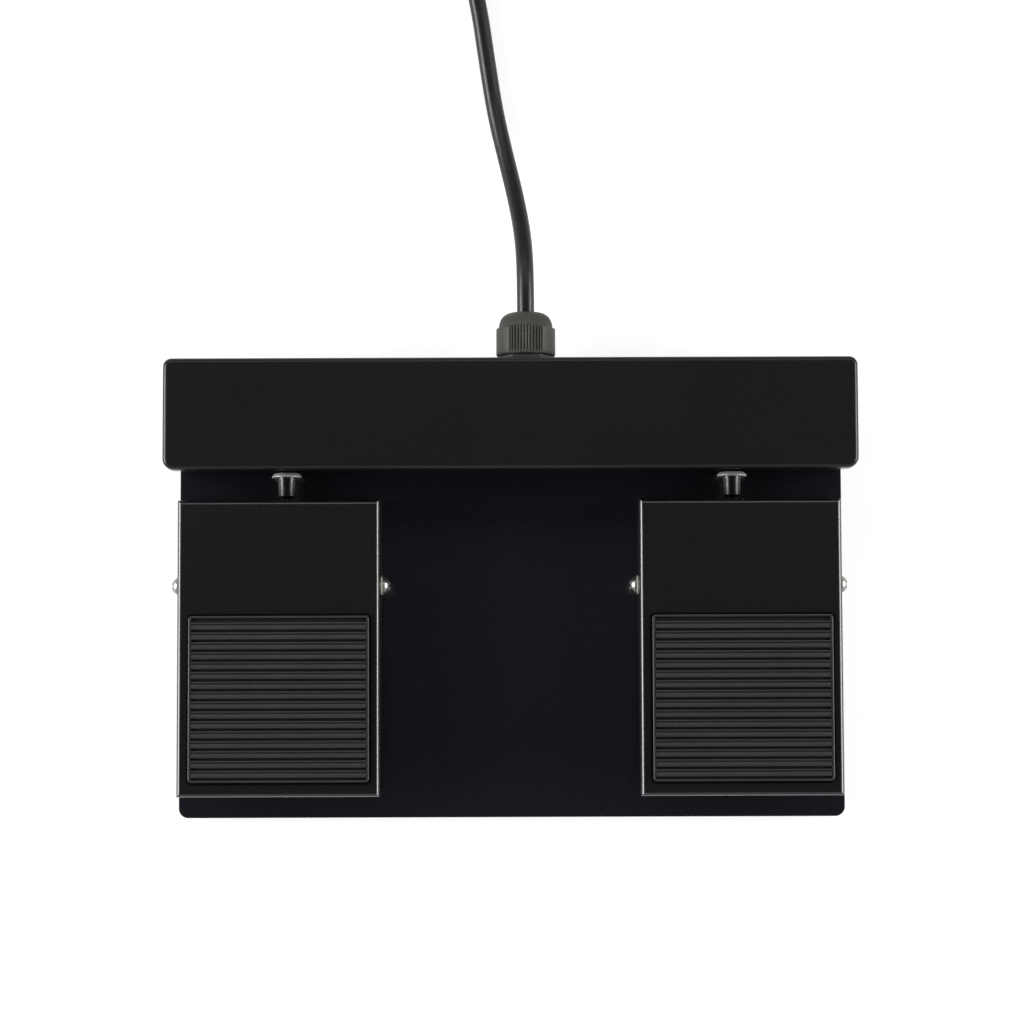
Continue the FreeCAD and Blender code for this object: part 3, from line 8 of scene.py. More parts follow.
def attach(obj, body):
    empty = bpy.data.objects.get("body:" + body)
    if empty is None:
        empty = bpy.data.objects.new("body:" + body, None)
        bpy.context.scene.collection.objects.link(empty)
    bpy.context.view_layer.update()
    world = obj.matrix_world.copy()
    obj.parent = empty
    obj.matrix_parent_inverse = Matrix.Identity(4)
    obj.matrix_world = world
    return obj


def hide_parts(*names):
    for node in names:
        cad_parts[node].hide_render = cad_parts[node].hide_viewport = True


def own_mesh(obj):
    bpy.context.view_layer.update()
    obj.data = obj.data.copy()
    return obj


# A twin foot pedal seen from above. Lengths below are in millimetres unless a name says metres.

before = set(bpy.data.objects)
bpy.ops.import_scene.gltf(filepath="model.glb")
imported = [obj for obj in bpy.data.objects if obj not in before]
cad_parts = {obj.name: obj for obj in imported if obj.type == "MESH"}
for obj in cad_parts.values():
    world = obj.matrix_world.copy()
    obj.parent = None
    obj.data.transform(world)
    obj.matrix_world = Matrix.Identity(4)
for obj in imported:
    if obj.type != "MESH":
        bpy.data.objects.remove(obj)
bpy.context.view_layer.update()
MM = 0.001
scene = bpy.context.scene
SIDES = (("left", -1), ("right", 1))

# ------------------------------------------------------------------------------------ sizes

SIDEWAYS = -0.45
PEDAL_X = {-1: SIDEWAYS - 76.6, 1: SIDEWAYS + 76.6}
PIVOT = (-6.7, 16.0)
PLUNGER_X = {-1: SIDEWAYS - 75.0, 1: SIDEWAYS + 75.0}
PLUNGER_Z = 12.0
GLAND_X, GLAND_Z = 5.2, 22.0
CABLE_R = 2.9
COIL = (27.0, 252.0)
COIL_OUTER, COIL_INNER = 45.0, 24.3
COIL_LOW_Z, COIL_HIGH_Z = 3.7, 9.5
PLUG_X, PLUG_Y, PLUG_Z = 44.0, 308.4, 7.0
PIN_R = 3.175
MAT_HALF, MAT_FRONT, MAT_REAR = 29.75, -72.1, -17.3
MAT_SIDEWAYS = 0.3
MAT_BASE, MAT_GROOVE = 28.0, 28.9
MAT_CORNER = 1.0
RIB_PITCH, RIB_COUNT = 3.25, 16
FEET_X, FEET_Y = (-98.0, 98.0), (-70.0, 50.0)


# ---------------------------------------------------------------------------------- camera

CAMERA_AT = (0.4, -59.8, 1002.9)
CAMERA_AIM = (0.4, 18.7, 6.0)
CAMERA_ROLL = math.radians(0.2)
LENS = 103.7


def camera():
    data = bpy.data.cameras.new("camera")
    data.lens = LENS
    data.sensor_width = 36.0
    data.clip_start, data.clip_end = 0.05, 20.0
    cam = bpy.data.objects.new("camera", data)
    scene.collection.objects.link(cam)
    place, aim = Vector(CAMERA_AT) * MM, Vector(CAMERA_AIM) * MM
    turn = (aim - place).to_track_quat("-Z", "Y").to_matrix().to_4x4()
    cam.matrix_world = Matrix.Translation(place) @ turn @ Matrix.Rotation(-CAMERA_ROLL, 4, "Z")
    scene.camera = cam


# ------------------------------------------------------------------------------- materials

# The values of a noise texture lie mostly between these two.
NOISE_LOW, NOISE_HIGH = 0.3, 0.7
# Painted shade on a mat: its colour is darkest at the groove bottoms up to the first height above them,
# brightens between, and is full above the second.
GROOVE_SHADE_FULL_BELOW, GROOVE_SHADE_GONE_ABOVE = 0.35, 0.75


def new_material(name, color, roughness, metallic=0.0, specular=0.5):
    """A principled material. Returns it with its node tree, shader and texture coordinates."""
    material = bpy.data.materials.new(name)
    material.use_nodes = True
    tree = material.node_tree
    shader = tree.nodes["Principled BSDF"]
    shader.inputs["Base Color"].default_value = (*color, 1.0)
    shader.inputs["Roughness"].default_value = roughness
    shader.inputs["Metallic"].default_value = metallic
    shader.inputs["Specular IOR Level"].default_value = specular
    material.diffuse_color = (*color, 1.0)
    coords = tree.nodes.new("ShaderNodeTexCoord")
    return material, tree, shader, coords


def noise(tree, coords, scale, detail=3.0, roughness=0.55, stretch=None):
    """Noise in object space. stretch scales the three axes, for drawn or brushed grain."""
    texture = tree.nodes.new("ShaderNodeTexNoise")
    texture.inputs["Scale"].default_value = scale
    texture.inputs["Detail"].default_value = detail
    texture.inputs["Roughness"].default_value = roughness
    if stretch:
        mapping = tree.nodes.new("ShaderNodeMapping")
        mapping.inputs["Scale"].default_value = stretch
        tree.links.new(coords.outputs["Object"], mapping.inputs["Vector"])
        tree.links.new(mapping.outputs["Vector"], texture.inputs["Vector"])
    else:
        tree.links.new(coords.outputs["Object"], texture.inputs["Vector"])
    return texture.outputs["Fac"]


def spread(tree, value, low, high):
    """Maps the usual span of a noise value on to low to high."""
    node = tree.nodes.new("ShaderNodeMapRange")
    node.inputs["From Min"].default_value = NOISE_LOW
    node.inputs["From Max"].default_value = NOISE_HIGH
    node.inputs["To Min"].default_value = low
    node.inputs["To Max"].default_value = high
    tree.links.new(value, node.inputs["Value"])
    return node.outputs["Result"]


def vary_color(tree, shader, value, dark, light):
    ramp = tree.nodes.new("ShaderNodeValToRGB")
    ramp.color_ramp.elements[0].position = NOISE_LOW
    ramp.color_ramp.elements[1].position = NOISE_HIGH
    ramp.color_ramp.elements[0].color = (*dark, 1.0)
    ramp.color_ramp.elements[1].color = (*light, 1.0)
    tree.links.new(value, ramp.inputs["Fac"])
    tree.links.new(ramp.outputs["Color"], shader.inputs["Base Color"])


def bump(tree, shader, value, strength, distance):
    node = tree.nodes.new("ShaderNodeBump")
    node.inputs["Strength"].default_value = strength
    node.inputs["Distance"].default_value = distance
    tree.links.new(value, node.inputs["Height"])
    tree.links.new(node.outputs["Normal"], shader.inputs["Normal"])


def scaled(color, factor):
    return tuple(channel * factor for channel in color)


def coat_material(name, color, specular=0.85):
    """Powder coat: a fine orange peel, slightly uneven gloss and colour."""
    material, tree, shader, coords = new_material(name, color, 0.26, specular=specular)
    fine = noise(tree, coords, 1400.0, detail=2.0)
    wide = noise(tree, coords, 22.0, detail=3.0)
    vary_color(tree, shader, wide, scaled(color, 0.93), scaled(color, 1.07))
    tree.links.new(spread(tree, fine, 0.23, 0.28), shader.inputs["Roughness"])
    bump(tree, shader, fine, 0.18, 0.00003)
    return material


def plastic_material(name, color, roughness, grain=900.0, strength=0.15, specular=0.4):
    material, tree, shader, coords = new_material(name, color, roughness, specular=specular)
    fine = noise(tree, coords, grain, detail=3.0)
    wide = noise(tree, coords, 60.0, detail=3.0)
    vary_color(tree, shader, wide, scaled(color, 0.92), scaled(color, 1.08))
    tree.links.new(spread(tree, fine, roughness - 0.04, roughness + 0.05), shader.inputs["Roughness"])
    bump(tree, shader, fine, strength, 0.00005)
    return material


def mat_material(name, color):
    """Moulded rubber. Its colour is darkened towards the groove bottoms by height, a painted shade for
    the little light that reaches them.
    """
    material, tree, shader, coords = new_material(name, color, 0.42, specular=0.45)
    fine = noise(tree, coords, 1100.0, detail=3.0)
    wide = noise(tree, coords, 60.0, detail=3.0)
    split = tree.nodes.new("ShaderNodeSeparateXYZ")
    tree.links.new(coords.outputs["Object"], split.inputs["Vector"])
    # Painted shade: darkens the colour towards the groove bottoms, by height.
    height = tree.nodes.new("ShaderNodeMapRange")
    height.inputs["From Min"].default_value = (MAT_GROOVE + GROOVE_SHADE_FULL_BELOW) * MM
    height.inputs["From Max"].default_value = (MAT_GROOVE + GROOVE_SHADE_GONE_ABOVE) * MM
    height.inputs["To Min"].default_value = 0.04
    tree.links.new(split.outputs["Z"], height.inputs["Value"])
    groove_shade_and_tone = tree.nodes.new("ShaderNodeMath")
    groove_shade_and_tone.operation = "MULTIPLY"
    tree.links.new(height.outputs["Result"], groove_shade_and_tone.inputs[0])
    tree.links.new(spread(tree, wide, 0.46, 0.54), groove_shade_and_tone.inputs[1])
    ramp = tree.nodes.new("ShaderNodeValToRGB")
    ramp.color_ramp.elements[0].color = (0.0, 0.0, 0.0, 1.0)
    ramp.color_ramp.elements[1].color = (*scaled(color, 2.0), 1.0)
    tree.links.new(groove_shade_and_tone.outputs["Value"], ramp.inputs["Fac"])
    tree.links.new(ramp.outputs["Color"], shader.inputs["Base Color"])
    tree.links.new(spread(tree, fine, 0.38, 0.47), shader.inputs["Roughness"])
    bump(tree, shader, fine, 0.2, 0.00005)
    return material


def metal_material(
    name, color, roughness, stretch=(1.0, 1.0, 1.0), grain=500.0, strength=0.08, metallic=1.0
):
    material, tree, shader, coords = new_material(name, color, roughness, metallic=metallic)
    fine = noise(tree, coords, grain, detail=4.0, stretch=stretch)
    wide = noise(tree, coords, 80.0, detail=3.0)
    vary_color(tree, shader, wide, scaled(color, 0.94), scaled(color, 1.04))
    tree.links.new(spread(tree, fine, roughness * 0.8, roughness * 1.25), shader.inputs["Roughness"])
    bump(tree, shader, fine, strength, 0.00003)
    return material


MATERIALS = {
    "coat": coat_material("black_powder_coat", (0.003, 0.0032, 0.0035), specular=0.78),
    "housing_coat": coat_material("black_powder_coat_housing", (0.0066, 0.007, 0.0078), specular=0.3),
    "base_coat": coat_material("black_powder_coat_base", (0.0053, 0.0059, 0.0088), specular=0.55),
    "mat": mat_material("mat_rubber", (0.0172, 0.018, 0.0178)),
    "stop": plastic_material("stop_rubber", (0.012, 0.012, 0.012), 0.62),
    # Near-black and almost unreflective: painted shade round the mats and under the plunger flanges.
    "matte": plastic_material("painted_shade_black", (0.001, 0.001, 0.001), 0.9, specular=0.04),
    "grey": plastic_material(
        "grey_nylon", (0.0315, 0.0355, 0.029), 0.5, grain=800.0, strength=0.2, specular=0.25
    ),
    "natural": plastic_material("natural_nylon", (0.55, 0.53, 0.46), 0.4),
    "black": plastic_material("black_plastic", (0.009, 0.009, 0.0095), 0.38),
    "button": plastic_material("button_plastic", (0.32, 0.035, 0.02), 0.35),
    "wire": plastic_material("wire_jacket", (0.32, 0.03, 0.02), 0.33),
    "cable": plastic_material(
        "cable_jacket", (0.006, 0.006, 0.0058), 0.3, grain=500.0, strength=0.05, specular=0.3
    ),
    "nickel": metal_material("satin_nickel", (0.78, 0.77, 0.73), 0.46, strength=0.03, metallic=0.6),
    "dark_steel": metal_material(
        "dark_steel", (0.036, 0.036, 0.035), 0.27, strength=0.03, metallic=0.8
    ),
    "zinc": metal_material("zinc_plate", (0.36, 0.35, 0.33), 0.3, grain=900.0),
    "spring": metal_material("spring_wire", (0.40, 0.41, 0.42), 0.28),
    "brass": metal_material("tinned_brass", (0.62, 0.53, 0.34), 0.3),
    "contact": metal_material("nickel_contact", (0.6, 0.59, 0.57), 0.2, stretch=(0.1, 1.0, 1.0)),
}
NODE_MATERIALS = {
    "coat": ("pedal_plate_left", "pedal_plate_right"),
    "housing_coat": ("housing_cover", "front_panel"),
    "base_coat": ("base_plate",),
    "zinc": (
        "pivot_screws pivot_washers pivot_nuts foot_screws foot_nuts pivot_bracket_left "
        "pivot_bracket_right bracket_rivets cover_posts cover_screws bush_nuts carrier_screws "
        "switch_screws plunger_clip_left plunger_clip_right"
    ).split(),
    "spring": ("return_spring_left", "return_spring_right"),
    "nickel": ("plunger_bush_left", "plunger_bush_right"),
    "dark_steel": ("plunger_left", "plunger_right"),
    "mat": ("tread_mat_left", "tread_mat_right"),
    "stop": ("rubber_feet", "bump_stops", "rest_pads", "gland_seal", "gland_washer"),
    "grey": ("gland_body", "gland_lock_nut", "gland_dome_nut"),
    "natural": ("pivot_bushes", "spring_cap_left", "spring_cap_right", "spring_seats"),
    "black": (
        "switch_carrier_left switch_carrier_right switch_body_left switch_body_right strain_tie "
        "coil_tie plug_boot plug_handle plug_insulators"
    ).split(),
    "button": ("switch_button_left", "switch_button_right"),
    "brass": ("switch_terminals",),
    "cable": ("inner_cable", "cord_tube", "cord_tail", "cord_coil"),
    "wire": ("switch_wires",),
    "contact": ("plug_sleeve", "plug_ring", "plug_tip"),
}


def dress_nodes():
    """Gives every carried-over CAD node its material."""
    for material, names in NODE_MATERIALS.items():
        for name in names:
            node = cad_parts[name]
            for slot in node.material_slots:
                slot.material = MATERIALS[material]


# ----------------------------------------------------------------------------- mesh helpers


def unit(value):
    """The value, kept between 0 and 1."""
    return min(max(value, 0.0), 1.0)


def piece(name, mesh, material, body="base", nodes=(), slot=None, smooth=32.0):
    """A finished piece: shaded smooth below an angle, with its material, body and CAD nodes."""
    mesh.validate()
    mesh.shade_smooth()
    mesh.set_sharp_from_angle(angle=math.radians(smooth))
    mesh.materials.clear()
    mesh.materials.append(MATERIALS[material])
    obj = bpy.data.objects.new(name, mesh)
    scene.collection.objects.link(obj)
    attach(obj, body)
    if nodes:
        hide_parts(*nodes)
    return obj


def mesh_of(name, build):
    """A mesh from a bmesh builder, with outward normals."""
    bm = bmesh.new()
    build(bm)
    bmesh.ops.recalc_face_normals(bm, faces=bm.faces)
    mesh = bpy.data.meshes.new(name)
    bm.to_mesh(mesh)
    bm.free()
    return mesh


AXES = {
    "+x": (Vector((1, 0, 0)), Vector((0, 1, 0)), Vector((0, 0, 1))),
    "-x": (Vector((-1, 0, 0)), Vector((0, 1, 0)), Vector((0, 0, -1))),
    "+y": (Vector((0, 1, 0)), Vector((0, 0, 1)), Vector((1, 0, 0))),
    "+z": (Vector((0, 0, 1)), Vector((1, 0, 0)), Vector((0, 1, 0))),
    "-z": (Vector((0, 0, -1)), Vector((1, 0, 0)), Vector((0, -1, 0))),
}


def lathe(bm, profile, start, way, steps=48, shape=None):
    """Turns a profile of (radius, distance along) round an axis that starts at start.

    A profile whose ends have radius 0 makes a solid; any other is closed on itself, a ring.
    shape(radius, along, angle) may change the radius at an angle.
    """
    along, across, up = AXES[way]
    origin = Vector(start)
    solid = profile[0][0] == 0 and profile[-1][0] == 0
    rings = []
    for radius, distance in profile:
        if solid and radius == 0:
            rings.append([bm.verts.new((origin + along * distance) * MM)])
            continue
        ring = []
        for i in range(steps):
            angle = 2 * math.pi * i / steps
            r = shape(radius, distance, angle) if shape else radius
            point = (
                origin
                + along * distance
                + across * (r * math.cos(angle))
                + up * (r * math.sin(angle))
            )
            ring.append(bm.verts.new(point * MM))
        rings.append(ring)
    pairs = list(zip(rings, rings[1:]))
    if not solid:
        pairs.append((rings[-1], rings[0]))
    for a, b in pairs:
        for i in range(steps):
            j = (i + 1) % steps
            if len(a) == 1:
                bm.faces.new((a[0], b[i], b[j]))
            elif len(b) == 1:
                bm.faces.new((a[i], b[0], a[j]))
            else:
                bm.faces.new((a[i], b[i], b[j], a[j]))


def turned(name, material, parts, steps=48, **kwargs):
    """A piece of one or more turned parts, each (profile, start, way)."""

    def build(bm):
        for profile, start, way in parts:
            lathe(bm, profile, start, way, steps)

    return piece(name, mesh_of(name, build), material, **kwargs)


def arc(centre_r, centre_y, radius, start, end, count):
    """Points of a rounding in a profile. Angles are in degrees, 0 outwards and 90 onwards."""
    points = []
    for i in range(count + 1):
        a = math.radians(start + (end - start) * i / count)
        points.append((centre_r + radius * math.cos(a), centre_y + radius * math.sin(a)))
    return points


def loft(bm, sections, closed=False):
    """Joins closed loops of equally many points with quads, and caps the ends of an open row."""
    loops = [[bm.verts.new(Vector(point) * MM) for point in section] for section in sections]
    pairs = list(zip(loops, loops[1:]))
    if closed:
        pairs.append((loops[-1], loops[0]))
    count = len(loops[0])
    for a, b in pairs:
        for i in range(count):
            j = (i + 1) % count
            bm.faces.new((a[i], b[i], b[j], a[j]))
    if not closed:
        bm.faces.new(loops[0])
        bm.faces.new(list(reversed(loops[-1])))


# ------------------------------------------------------------------------------- the cable

# The route's own points, from the gland to the coil and from the coil to the plug.
CABLE_ROUTE = (
    (5.2, 84.2, 22.0),
    (5.2, 97.5, 22.0),
    (4.5, 111.0, 17.0),
    (2.2, 125.0, 11.0),
    (-1.2, 140.0, 5.9),
    (-4.8, 156.0, 2.9),
    (-7.6, 174.0, 2.9),
    (-10.4, 194.0, 2.9),
    (-15.0, 213.5, 3.1),
    (-18.2, 233.0, 3.7),
)
TAIL_ROUTE = (
    (4.6, 293.1, 9.1),
    (16.0, 302.2, 8.2),
    (29.5, 307.8, 7.3),
    (44.0, 308.4, 7.0),
)
LOWER_TURNS, UPPER_TURNS = 3.5, 3.625
POINTS_PER_TURN = 24
CLIMB_TURNS = 0.2


def coil_points():
    """Two flat spirals, the lower one inwards and the upper one outwards, clockwise from above."""
    total = LOWER_TURNS + UPPER_TURNS
    count = round(total * POINTS_PER_TURN)
    swell = 1 / math.cos(math.pi / POINTS_PER_TURN)
    points = []
    for i in range(count + 1):
        turn = total * i / count
        if turn < LOWER_TURNS:
            radius = COIL_OUTER + (COIL_INNER - COIL_OUTER) * turn / LOWER_TURNS
        else:
            radius = COIL_INNER + (COIL_OUTER - COIL_INNER) * (turn - LOWER_TURNS) / UPPER_TURNS
        climb = unit((turn - LOWER_TURNS) / CLIMB_TURNS + 0.5)
        height = COIL_LOW_Z + (COIL_HIGH_Z - COIL_LOW_Z) * climb
        angle = math.pi - 2 * math.pi * turn
        x = COIL[0] + radius * swell * math.cos(angle)
        y = COIL[1] + radius * swell * math.sin(angle)
        points.append((x, y, height))
    return points


def cable():
    data = bpy.data.curves.new("cable", "CURVE")
    data.dimensions = "3D"
    data.bevel_depth = CABLE_R * MM
    data.bevel_resolution = 7
    data.resolution_u = 8
    data.use_fill_caps = True
    spline = data.splines.new("NURBS")
    points = list(CABLE_ROUTE) + coil_points() + list(TAIL_ROUTE)
    spline.points.add(len(points) - 1)
    for point, place in zip(spline.points, points):
        point.co = (*(Vector(place) * MM), 1.0)
    spline.order_u = 3
    spline.use_endpoint_u = True
    data.materials.append(MATERIALS["cable"])
    obj = bpy.data.objects.new("cable", data)
    scene.collection.objects.link(obj)
    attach(obj, "base")
    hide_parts("cord_tube", "cord_coil", "cord_tail")
    return obj


def coil_tie():
    """A flat strap round all the turns at one place."""
    x0, x1 = 47.25, 75.35
    z0, z1 = 0.4, 12.8
    y0, y1 = 247.0, 257.0
    corner, thick = 2.4, 0.7

    def loop(grow):
        outline = []
        for cx, cz, start in ((x1, z1, 0), (x0, z1, 90), (x0, z0, 180), (x1, z0, 270)):
            ox = cx - corner if cx == x1 else cx + corner
            oz = cz - corner if cz == z1 else cz + corner
            for i in range(7):
                a = math.radians(start + 15 * i)
                outline.append((ox + (corner + grow) * math.cos(a), oz + (corner + grow) * math.sin(a)))
        return outline

    outer, inner = loop(thick / 2), loop(-thick / 2)

    def build(bm):
        sections = []
        for ring, y in ((outer, y0 + 0.2), (outer, y1 - 0.2), (inner, y1), (inner, y0)):
            sections.append([(x, y, z) for x, z in ring])
        loft(bm, sections, closed=True)

    strap = mesh_of("coil_strap", build)
    piece("coil_strap", strap, "black", nodes=["coil_tie"], slot="tie_plastic")


# ---------------------------------------------------------------------------------- the plug


def plug():
    """A jack plug: ribbed boot, grooved barrel, collar, two rings and a turned tip."""
    pieces = []

    def add(name, material, profile, offsets, node, steps=48):
        parts = [(profile, (PLUG_X + offset, PLUG_Y, PLUG_Z), "+x") for offset in offsets]
        pieces.append(turned(name, material, parts, steps=steps, nodes=[node]))

    boot = [(CABLE_R + 0.02, 0.0), (3.6, 0.0), (4.0, 0.4)]
    ribs = 6
    for i in range(ribs):
        a = 1.2 + i * 2.4
        r = 4.1 + 0.85 * (i + 0.5) / ribs
        boot += [(r, a), (r, a + 1.3), (r - 0.7, a + 1.6), (r - 0.7, a + 2.1)]
    boot += [(5.1, 16.2), (5.2, 18.0), (CABLE_R + 0.02, 18.0)]
    add("plug_boot_ribbed", "black", boot, [0.0], "plug_boot")
    barrel = [(0, 0.0), (5.7, 0.0), (6.5, 0.3), (6.9, 1.2)]
    for i in range(9):
        a = 6.0 + i * 2.2
        barrel += [(6.9, a), (6.5, a + 0.35), (6.5, a + 0.85), (6.9, a + 1.2)]
    barrel += [(6.9, 32.8), (6.5, 33.7), (5.7, 34.0), (0, 34.0)]
    add("plug_barrel", "black", barrel, [18.0], "plug_handle", steps=64)
    sleeve = [(0, 0.0), (4.3, 0.0), (4.6, 0.3), (4.6, 1.7), (4.3, 2.0)]
    sleeve += [(PIN_R, 2.0), (PIN_R, 19.4), (3.08, 19.5), (0, 19.5)]
    add("plug_sleeve_contact", "contact", sleeve, [52.0], "plug_sleeve")
    disc = [(0, 0.0), (3.1, 0.0), (3.1, 1.2), (0, 1.2)]
    add("plug_insulator_rings", "black", disc, [71.5, 76.2], "plug_insulators")
    ring = [(0, 0.0), (3.08, 0.0), (PIN_R, 0.1), (PIN_R, 3.4), (3.08, 3.5), (0, 3.5)]
    add("plug_ring_contact", "contact", ring, [72.7], "plug_ring")
    tip = [(0, 0.0), (3.08, 0.0), (PIN_R, 0.1), (PIN_R, 0.5), (2.75, 1.6), (2.35, 2.6), (2.2, 3.1)]
    tip += [(2.5, 3.6), (3.0, 4.1), (3.15, 4.5), (2.95, 5.1), (2.4, 6.1), (1.7, 7.0), (1.0, 7.45)]
    tip += [(0.5, 7.58), (0, 7.6)]
    add("plug_tip_contact", "contact", tip, [77.4], "plug_tip")
    return pieces


# --------------------------------------------------------------------------------- the gland


def gland():
    """Dome nut with fine ribs in three zones, hexagon body, and sealing lips round the cable."""
    washer_y, body_y, nut_y = 67.4, 68.1, 69.6
    rib_pitch, zone, zone_fade = math.radians(5.9), math.radians(34), math.radians(3)
    side_depth, crown_depth = 0.6, 0.24
    shoulder, crown_radius = 9.3, 6.5

    def ribbed(radius, along, angle):
        """Ribs run along the nut and fade out before its rim and its crown."""
        if radius < crown_radius:
            return radius
        depth = side_depth * unit((along - 0.4) / 0.5) * unit((12.9 - along) / 2.2)
        third = 2 * math.pi / 3
        away = (angle + third / 2) % third - third / 2
        inside = unit((zone - abs(away)) / zone_fade)
        if along > shoulder:
            depth, inside = crown_depth * unit((14.0 - along) / 1.5), 1.0
        wave = 0.5 + 0.5 * math.cos(2 * math.pi * away / rib_pitch)
        return radius - depth * inside * (1 - wave**0.5)

    profile = [(7.0, 0.0), (9.3, 0.0), (9.75, 0.2), (9.9, 0.6), (9.9, 1.6), (9.9, 4.0), (9.9, 6.6)]
    profile += [(9.9, 8.9), (9.85, 9.15), (9.6, 9.35), (9.1, 9.42), (8.95, 9.6), (8.93, 10.3)]
    profile += [(8.8, 11.1)]
    profile += arc(4.6, 10.4, 4.2, 12, 88, 9)
    profile += [(3.9, 14.6), (3.5, 14.4), (3.5, 11.9), (5.2, 11.9), (5.2, 4.2), (7.0, 4.2)]

    def build(bm):
        lathe(bm, profile, (GLAND_X, nut_y, GLAND_Z), "+y", 360, ribbed)

    piece("gland_nut", mesh_of("gland_nut", build), "grey", nodes=["gland_dome_nut"], smooth=50)
    bore = CABLE_R + 0.03
    lips = [(bore, 4.3), (5.1, 4.3), (5.1, 10.1), (3.42, 10.15), (3.42, 13.9), (3.2, 14.2)]
    lips += [(bore, 14.2)]
    turned("gland_lips", "stop", [(lips, (GLAND_X, nut_y, GLAND_Z), "+y")], nodes=["gland_seal"])

    flats = 8.5

    def hexed(radius, _along, angle):
        """Cuts the round down to a hexagon where it is wider than the flats."""
        if radius < flats:
            return radius
        sector = math.pi / 3
        away = (angle + sector / 2) % sector - sector / 2
        return min(radius, flats / math.cos(away))

    body = [(3.6, -8.5), (7.2, -8.5), (7.6, -8.1)]
    body += [(7.6, -1.2), (7.6, -0.02), (9.0, 0.0), (9.5, 0.15), (9.6, 0.4), (9.6, 1.0)]
    body += [(9.5, 1.3), (9.0, 1.48), (7.4, 1.5), (6.8, 1.6), (6.8, 3.8), (6.6, 3.9), (3.6, 3.9)]

    def build_body(bm):
        lathe(bm, body, (GLAND_X, body_y, GLAND_Z), "+y", 180, hexed)

    hexagon = mesh_of("gland_hexagon", build_body)
    piece("gland_hexagon", hexagon, "grey", nodes=["gland_body"], smooth=28)
    ring = [(7.62, 0.0), (9.15, 0.0), (9.3, 0.15), (9.3, 0.55), (9.15, 0.7), (7.62, 0.7)]
    washer = [(ring, (GLAND_X, washer_y, GLAND_Z), "+y")]
    turned("gland_ring", "stop", washer, nodes=["gland_washer"])


# ------------------------------------------------------------------------------ tread mats

# One rib from its rear to its front: groove, bead, valley and a crowned body, as (back, height).
RIB = (
    (0.0, 28.9), (0.3, 28.9), (0.58, 28.9), (0.64, 29.3), (0.7, 29.8), (0.8, 30.06), (1.0, 30.14),
    (1.2, 30.08), (1.3, 29.8), (1.4, 29.55), (1.5, 29.55), (1.58, 29.84), (1.7, 30.02), (2.1, 30.08),
    (2.5, 30.13), (2.85, 30.15), (3.04, 30.1), (3.13, 29.9), (3.19, 29.3),
)
# The rounded rim, as (distance in from the edge, height).
RIM = ((0.0, 29.9), (0.12, 30.0), (0.4, 30.03), (0.66, 29.98), (0.78, 29.6))
# A point closer to the edge than RIM_WIDTH is on the rim, and the rim's foot is a little further in.
RIM_WIDTH, RIM_FOOT = 0.85, 0.88


def mat_lines():
    """The mat's heights between its side rims, from rear to front."""
    first = (MAT_FRONT + MAT_REAR) / 2 + RIB_COUNT * RIB_PITCH / 2
    last = first - RIB_COUNT * RIB_PITCH
    line = [(MAT_REAR - d, z) for d, z in RIM] + [(MAT_REAR - RIM_FOOT, MAT_GROOVE)]
    for i in range(RIB_COUNT):
        line += [(first - i * RIB_PITCH - back, height) for back, height in RIB]
    line += [(last, MAT_GROOVE), (last - 0.45, MAT_GROOVE)]
    line += [(MAT_FRONT + RIM_FOOT, MAT_GROOVE)]
    return line + [(MAT_FRONT + d, z) for d, z in reversed(RIM)]


def round_corner(x, y):
    """Moves a point of a mat's square corner on to a quarter circle."""
    over_x = abs(x) - (MAT_HALF - MAT_CORNER)
    centre_y = (MAT_FRONT + MAT_REAR) / 2
    over_y = abs(y - centre_y) - ((MAT_REAR - MAT_FRONT) / 2 - MAT_CORNER)
    if min(over_x, over_y) <= 0:
        return x, y
    pull = 1 - max(over_x, over_y) / math.hypot(over_x, over_y)
    return x - math.copysign(over_x * pull, x), y - math.copysign(over_y * pull, y - centre_y)


def rounded_loop(middle, grow):
    """The mat's outline, grown all round, as a loop of points with round corners."""
    corner = MAT_CORNER + grow
    loop = []
    corners = ((1, MAT_REAR, 0), (-1, MAT_REAR, 90), (-1, MAT_FRONT, 180), (1, MAT_FRONT, 270))
    for x, y, start in corners:
        inward = -MAT_CORNER if y == MAT_REAR else MAT_CORNER
        for i in range(7):
            a = math.radians(start + 15 * i)
            centre = middle + x * (MAT_HALF - MAT_CORNER)
            loop.append((centre + corner * math.cos(a), y + inward + corner * math.sin(a)))
    return loop


